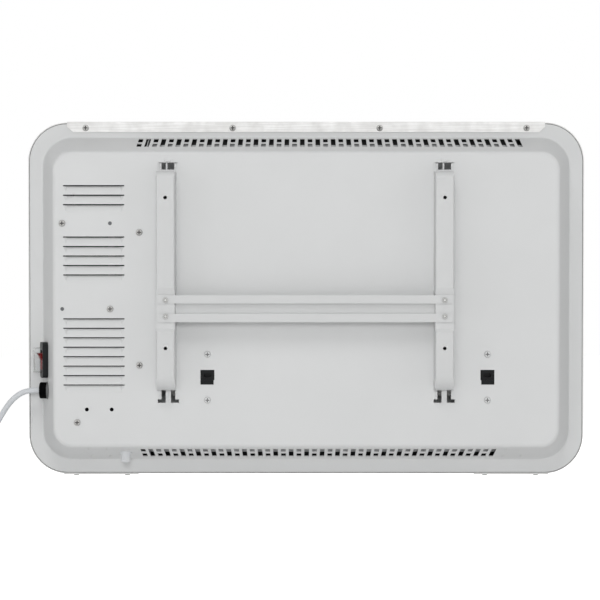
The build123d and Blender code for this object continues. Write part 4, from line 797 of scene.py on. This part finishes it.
# %% [markdown]
# Each group is one mesh, made of copies of the screw that are turned and moved as whole arrays. The
# screws hold on to the heater, so they ride on its body and go up with it when it is lifted.

# %% Screws in their seats
heads_back = np.array([(1, 0, 0), (0, 0, -1), (0, 1, 0)])  # turns a head from +Z to -Y
heads_down = np.array([(1, 0, 0), (0, -1, 0), (0, 0, -1)])  # turns it to -Z


def place_screws(name, node, seats, turn, finish):
    """Makes one piece of a screw at each seat, the middle of its head's underside in mm."""
    turned = screw_points @ turn.T
    points = (turned[None, :, :] + np.array(seats)[:, None, :]).reshape(-1, 3) * mm
    count = len(screw_points)
    faces = [[i + k * count for i in face] for k in range(len(seats)) for face in screw_faces]
    mesh = bpy.data.meshes.new(name)
    mesh.from_pydata(points.tolist(), [], faces)
    mesh.polygons.foreach_set("use_smooth", [True] * len(faces))
    in_cross = mesh.attributes.new("in_cross", "FLOAT", "POINT")
    in_cross.data.foreach_set("value", np.tile(screw_shade, len(seats)))
    mesh.materials.append(finish)
    piece = bpy.data.objects.new(name, mesh)
    bpy.context.scene.collection.objects.link(piece)
    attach(piece, "heater")
    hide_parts(node)
    corners = np.array(piece.bound_box)
    print(name, corners.min(axis=0).round(4), corners.max(axis=0).round(4))


for name, node, spots, seat_y, finish in (
    ("screws_of_casing", "casing_screws", casing_spots, casing_y, screw_zinc),
    ("screws_of_supports", "support_screws", support_spots, casing_y, screw_white_zinc),
    ("screws_of_strip", "strip_screws", strip_spots, strip_y, screw_zinc),
):
    place_screws(name, node, [(x, seat_y, z) for x, z in spots], heads_back, finish)
foot_seats = [(x, foot_middle[1], foot_z) for x in foot_xs]
place_screws("screws_of_feet", "foot_screws", foot_seats, heads_down, screw_zinc)

# %% [markdown]
# ## Marks on the buttons
# The four buttons on the front carry plain symbols, printed with a pad: an open ring and a stroke for
# power, three strokes for the mode, and arrow heads for up and down. Each symbol is a few ribbons of
# ink, a path with a width. The ink stands a tenth of a millimetre proud and goes down with its button.

# %% A ribbon of ink
ink_width = 0.55
ink_height = 0.1
# The ink is matt and a little short of white, and uneven where the pad has left less of it.
ink = clouded("pad print, white ink", "DADBDB", "F0F0F0", 0.5, cloud_mm=0.6)


def ribbon(path):
    """Points and faces of a closed flat bar along a path in the plane.

    It reaches half the ink's width to each side along the path's normal, which is the unit tangent
    turned by a quarter, and from 0 to the ink's height in Z.
    """
    path = np.array(path, dtype=float)
    tangent = np.gradient(path, axis=0)
    tangent /= np.linalg.norm(tangent, axis=1)[:, None]
    reach = np.stack([-tangent[:, 1], tangent[:, 0]], axis=1) * ink_width / 2
    corners = np.stack([path + reach, path - reach, path - reach, path + reach], axis=1)
    level = np.broadcast_to([[0.0], [0.0], [ink_height], [ink_height]], (len(path), 4, 1))
    points = np.concatenate([corners, level], axis=2).reshape(-1, 3)
    step, edge = np.meshgrid(np.arange(len(path) - 1), np.arange(4), indexing="ij")
    here, beside = step * 4 + edge, step * 4 + (edge + 1) % 4
    quads = np.stack([here, here + 4, beside + 4, beside], axis=2).reshape(-1, 4).tolist()
    last = (len(path) - 1) * 4
    return points, quads + [[0, 1, 2, 3], [last + 3, last + 2, last + 1, last]]


print("ink", ink_width, "mm wide")

# %% [markdown]
# The symbols are drawn in millimetres from the button's middle, right and up, as someone in front of
# the heater sees them. From there X runs to the left, so it is turned round when a mark is placed.

# %% Symbols on the buttons
ring_r = 1.9
ring_ends = (130, 410)  # in degrees, so the ring is open at its top
stroke = (0.4, 2.3)  # from the button's middle up
bar_half = 1.7
bar_heights = (-1.2, 0.0, 1.2)
arrow_foot, arrow_top = -0.8, 0.9

turn = np.radians(np.linspace(*ring_ends, 29))
open_ring = ring_r * np.stack([np.cos(turn), np.sin(turn)], axis=1)
symbols = {
    "power": [open_ring, [(0.0, z) for z in stroke]],
    "mode": [[(-bar_half, z), (bar_half, z)] for z in bar_heights],
}
for key, sign in (("up", 1), ("down", -1)):
    tip = (0.0, sign * arrow_top)
    feet = [(side * bar_half, sign * arrow_foot) for side in (-1, 1)]
    symbols[key] = [[feet[0], tip], [tip, feet[1]]]

for key, paths in symbols.items():
    low, high, middle = box_mm("button_" + key)
    ribbons = [ribbon(path) for path in paths]
    starts = np.cumsum([0] + [len(points) for points, faces in ribbons])
    faces = [[i + start for i in face] for (_, part), start in zip(ribbons, starts) for face in part]
    across, up, proud = np.concatenate([points for points, _ in ribbons]).T
    placed = np.stack([middle[0] - across, high[1] + proud, middle[2] + up], axis=1) * mm
    mesh = bpy.data.meshes.new("mark_" + key)
    mesh.from_pydata(placed.tolist(), [], faces)
    mesh.materials.append(ink)
    mark = bpy.data.objects.new("mark_" + key, mesh)
    bpy.context.scene.collection.objects.link(mark)
    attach(mark, "button_" + key)
print("marks on", len(symbols), "buttons")

# %% [markdown]
# ## The cord
# The cord leaves the gland level, bends under its own weight and hangs, and the length that the
# picture does not show is coiled and tied beside the heater. A cord is one smooth line with a round
# section, so it is a NURBS curve. The control points from the gland to the coil are given one by one.
# The coil's are worked out: it is wound in half circles, inwards in one layer and out again in a
# second layer beside it, and each half circle is a little smaller or larger than the last.

# %% The cord's route in millimetres
cord_d = 6.4
hand_points = [
    gland_exit,
    (-314.2, 65.0, -134.1),
    (-325.7, 65.3, -138.1),
    (-335.2, 66.0, -146.0),
    (-343.7, 68.0, -157.5),
    (-351.7, 71.5, -171.0),
    (-359.2, 76.5, -185.5),
    (-365.7, 82.5, -200.0),
    (-370.7, 89.0, -214.0),
    (-373.2, 94.3, -227.0),
    (-373.7, 96.0, -239.0),
]
inner_x = hand_points[-1][0]
coil_y = 50.0
coil_z = -256.4
coil_r = 46.0
coil_pitch = 8.0  # between turns of one layer
coil_step = 8.1  # between the layers
half_turns_in = 5
half_turns_out = 6
per_half_turn = 8
pull_in = 0.981  # a quadratic spline runs at this share of the radius of points 22.5 degrees apart
tail_start = 12.0
tail_len = 30.0

outer_x = inner_x - coil_step
turn_radii = [coil_r - k * coil_pitch / 2 for k in range(half_turns_in + 1)]
turn_radii += [turn_radii[-1] + k * coil_pitch / 2 for k in range(half_turns_out + 1)]


def half_turn(k, x_from, x_to):
    """Control points of half turn k of the coil.

    They lie on a half circle between the radii on its two sides: y and z go with the cosine and the
    sine of an angle from 0 to 180 degrees, and x drifts from x_from to x_to with (1 - cosine) / 2.
    """
    side = 1 if k % 2 == 0 else -1
    start = coil_y + side * turn_radii[k]
    end = coil_y - side * turn_radii[k + 1]
    angle = (np.arange(per_half_turn) + 0.5) / per_half_turn * np.pi
    radius = abs(start - end) / 2 / pull_in
    y = (start + end) / 2 + side * radius * np.cos(angle)
    z = coil_z - side * radius * np.sin(angle)
    x = x_from + (x_to - x_from) * (1 - np.cos(angle)) / 2
    return np.stack([x, y, z], axis=1)


turns = [half_turn(k, inner_x, inner_x) for k in range(half_turns_in)]
turns.append(half_turn(half_turns_in, inner_x, outer_x))
turns += [half_turn(k, outer_x, outer_x) for k in range(half_turns_in + 1, len(turn_radii) - 1)]
tail_y = coil_y + turn_radii[-1]
tail = [(outer_x, tail_y, coil_z - down) for down in (tail_start, tail_len)]
cord_points = np.concatenate([hand_points, *turns, tail]) * mm
print("route of", len(cord_points), "control points")

# %% [markdown]
# The curve's bevel is the sheath. The order is set after the points, because a spline without enough
# points takes no higher one, and with order 3 the cord rounds every corner by itself.

# %% One spline for the cord
cord_curve = bpy.data.curves.new("mains_cord", "CURVE")
cord_curve.dimensions = "3D"
spline = cord_curve.splines.new("NURBS")
spline.points.add(len(cord_points) - 1)
spline.points.foreach_set("co", np.column_stack([cord_points, np.ones(len(cord_points))]).ravel())
spline.order_u = 3
spline.use_endpoint_u = True
cord_curve.resolution_u = 4
cord_curve.bevel_depth = cord_d / 2 * mm
cord_curve.bevel_resolution = 4
cord_curve.use_fill_caps = True
cord_curve.materials.append(cord_pvc)
mains_cord = bpy.data.objects.new("mains_cord", cord_curve)
bpy.context.scene.collection.objects.link(mains_cord)
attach(mains_cord, "heater")
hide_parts("cord_lead", "cord_coil")
print("cord", cord_d, "mm thick")

# %% [markdown]
# ## Floor, backdrop and light
# The object is shown on plain white. A pale floor below the hanging heater still takes its shadow. The
# lamps make the floor a light grey, so it gets a glow of its own that only the camera sees, enough to
# meet the white of the backdrop. The glow puts no light on the heater.

# %% Floor
floor_z = -0.46
floor_half = 7.0
floor_glow = 0.68  # a strength of 1 is white

floor_paint = plain_finish("matt white floor", "FFFFFF", 0.9, Specular_IOR_Level=0.0)
tree = floor_paint.node_tree
floor_inputs = tree.nodes["Principled BSDF"].inputs
floor_inputs["Emission Color"].default_value = linear("FFFFFF")
rays = add_node(tree, "ShaderNodeLightPath").outputs
add_node(
    tree, "ShaderNodeMath", {0: rays["Is Camera Ray"], 1: floor_glow},
    feeds={"Value": floor_inputs["Emission Strength"]}, operation="MULTIPLY",
)

floor_corners = [
    (x * floor_half, y * floor_half, floor_z) for x, y in ((-1, -1), (1, -1), (1, 1), (-1, 1))
]
floor_mesh = bpy.data.meshes.new("floor")
floor_mesh.from_pydata(floor_corners, [], [(0, 1, 2, 3)])
floor_mesh.materials.append(floor_paint)
floor = bpy.data.objects.new("floor", floor_mesh)
bpy.context.scene.collection.objects.link(floor)
print("floor", -floor_z, "m below the middle of the wall screws")

# %% [markdown]
# The world does two jobs. It lights the object like a plain studio, evenly and not too strongly, and it
# is the white that the camera, a mirror or clear plastic looks at. Light Path tells which ray asks.

# %% World
studio_strength = 0.33
white_strength = 1.0

world = bpy.data.worlds.new("studio")
bpy.context.scene.world = world
world.use_nodes = True
tree = world.node_tree
tree.nodes.clear()
rays = add_node(tree, "ShaderNodeLightPath").outputs
camera_or_mirror = add_node(
    tree, "ShaderNodeMath", {0: rays["Is Camera Ray"], 1: rays["Is Glossy Ray"]}, operation="MAXIMUM"
)
sees_white = add_node(
    tree, "ShaderNodeMath", {0: camera_or_mirror.outputs["Value"], 1: rays["Is Transmission Ray"]},
    operation="MAXIMUM",
)
backgrounds = [
    add_node(tree, "ShaderNodeBackground", {"Color": linear("FFFFFF"), "Strength": strength})
    for strength in (studio_strength, white_strength)
]
either = add_node(
    tree, "ShaderNodeMixShader",
    {0: sees_white.outputs["Value"], 1: backgrounds[0].outputs[0], 2: backgrounds[1].outputs[0]},
)
add_node(tree, "ShaderNodeOutputWorld", {"Surface": either.outputs["Shader"]})
print("world of strength", studio_strength)

# %% [markdown]
# Five soft round lamps give the shapes their modelling. The one above the camera lights the slopes that
# look up more than those that look down, the one near the camera evens out the back, and a weak one at
# each side lights the ends. The far one stands beyond the heater, for its front. None of them shows as
# a spot in gloss.

# %% Lamps
lamp_aim = Vector((0.0, 0.05, 0.0))
for name, spot, width, watts in (
    ("top lamp", (-0.3, -2.0, 2.2), 1.4, 25.0),
    ("front lamp", (0.0, -3.2, 0.6), 0.7, 31.0),
    ("far lamp", (0.3, 3.2, 0.8), 1.2, 38.0),
    ("left lamp", (-2.6, -1.3, -0.1), 1.6, 9.0),
    ("right lamp", (2.6, -1.3, -0.1), 1.6, 8.0),
):
    lamp_data = bpy.data.lights.new(name, "AREA")
    lamp_data.shape = "DISK"
    lamp_data.size = width
    lamp_data.energy = watts
    lamp = bpy.data.objects.new(name, lamp_data)
    lamp.location = spot
    lamp.rotation_euler = (lamp_aim - lamp.location).to_track_quat("-Z", "Y").to_euler()
    lamp.visible_glossy = False
    bpy.context.scene.collection.objects.link(lamp)
    print(name, watts, "W")

# %% [markdown]
# The Standard view shows a colour as it is written.

# %% View transform
bpy.context.scene.view_settings.view_transform = "Standard"
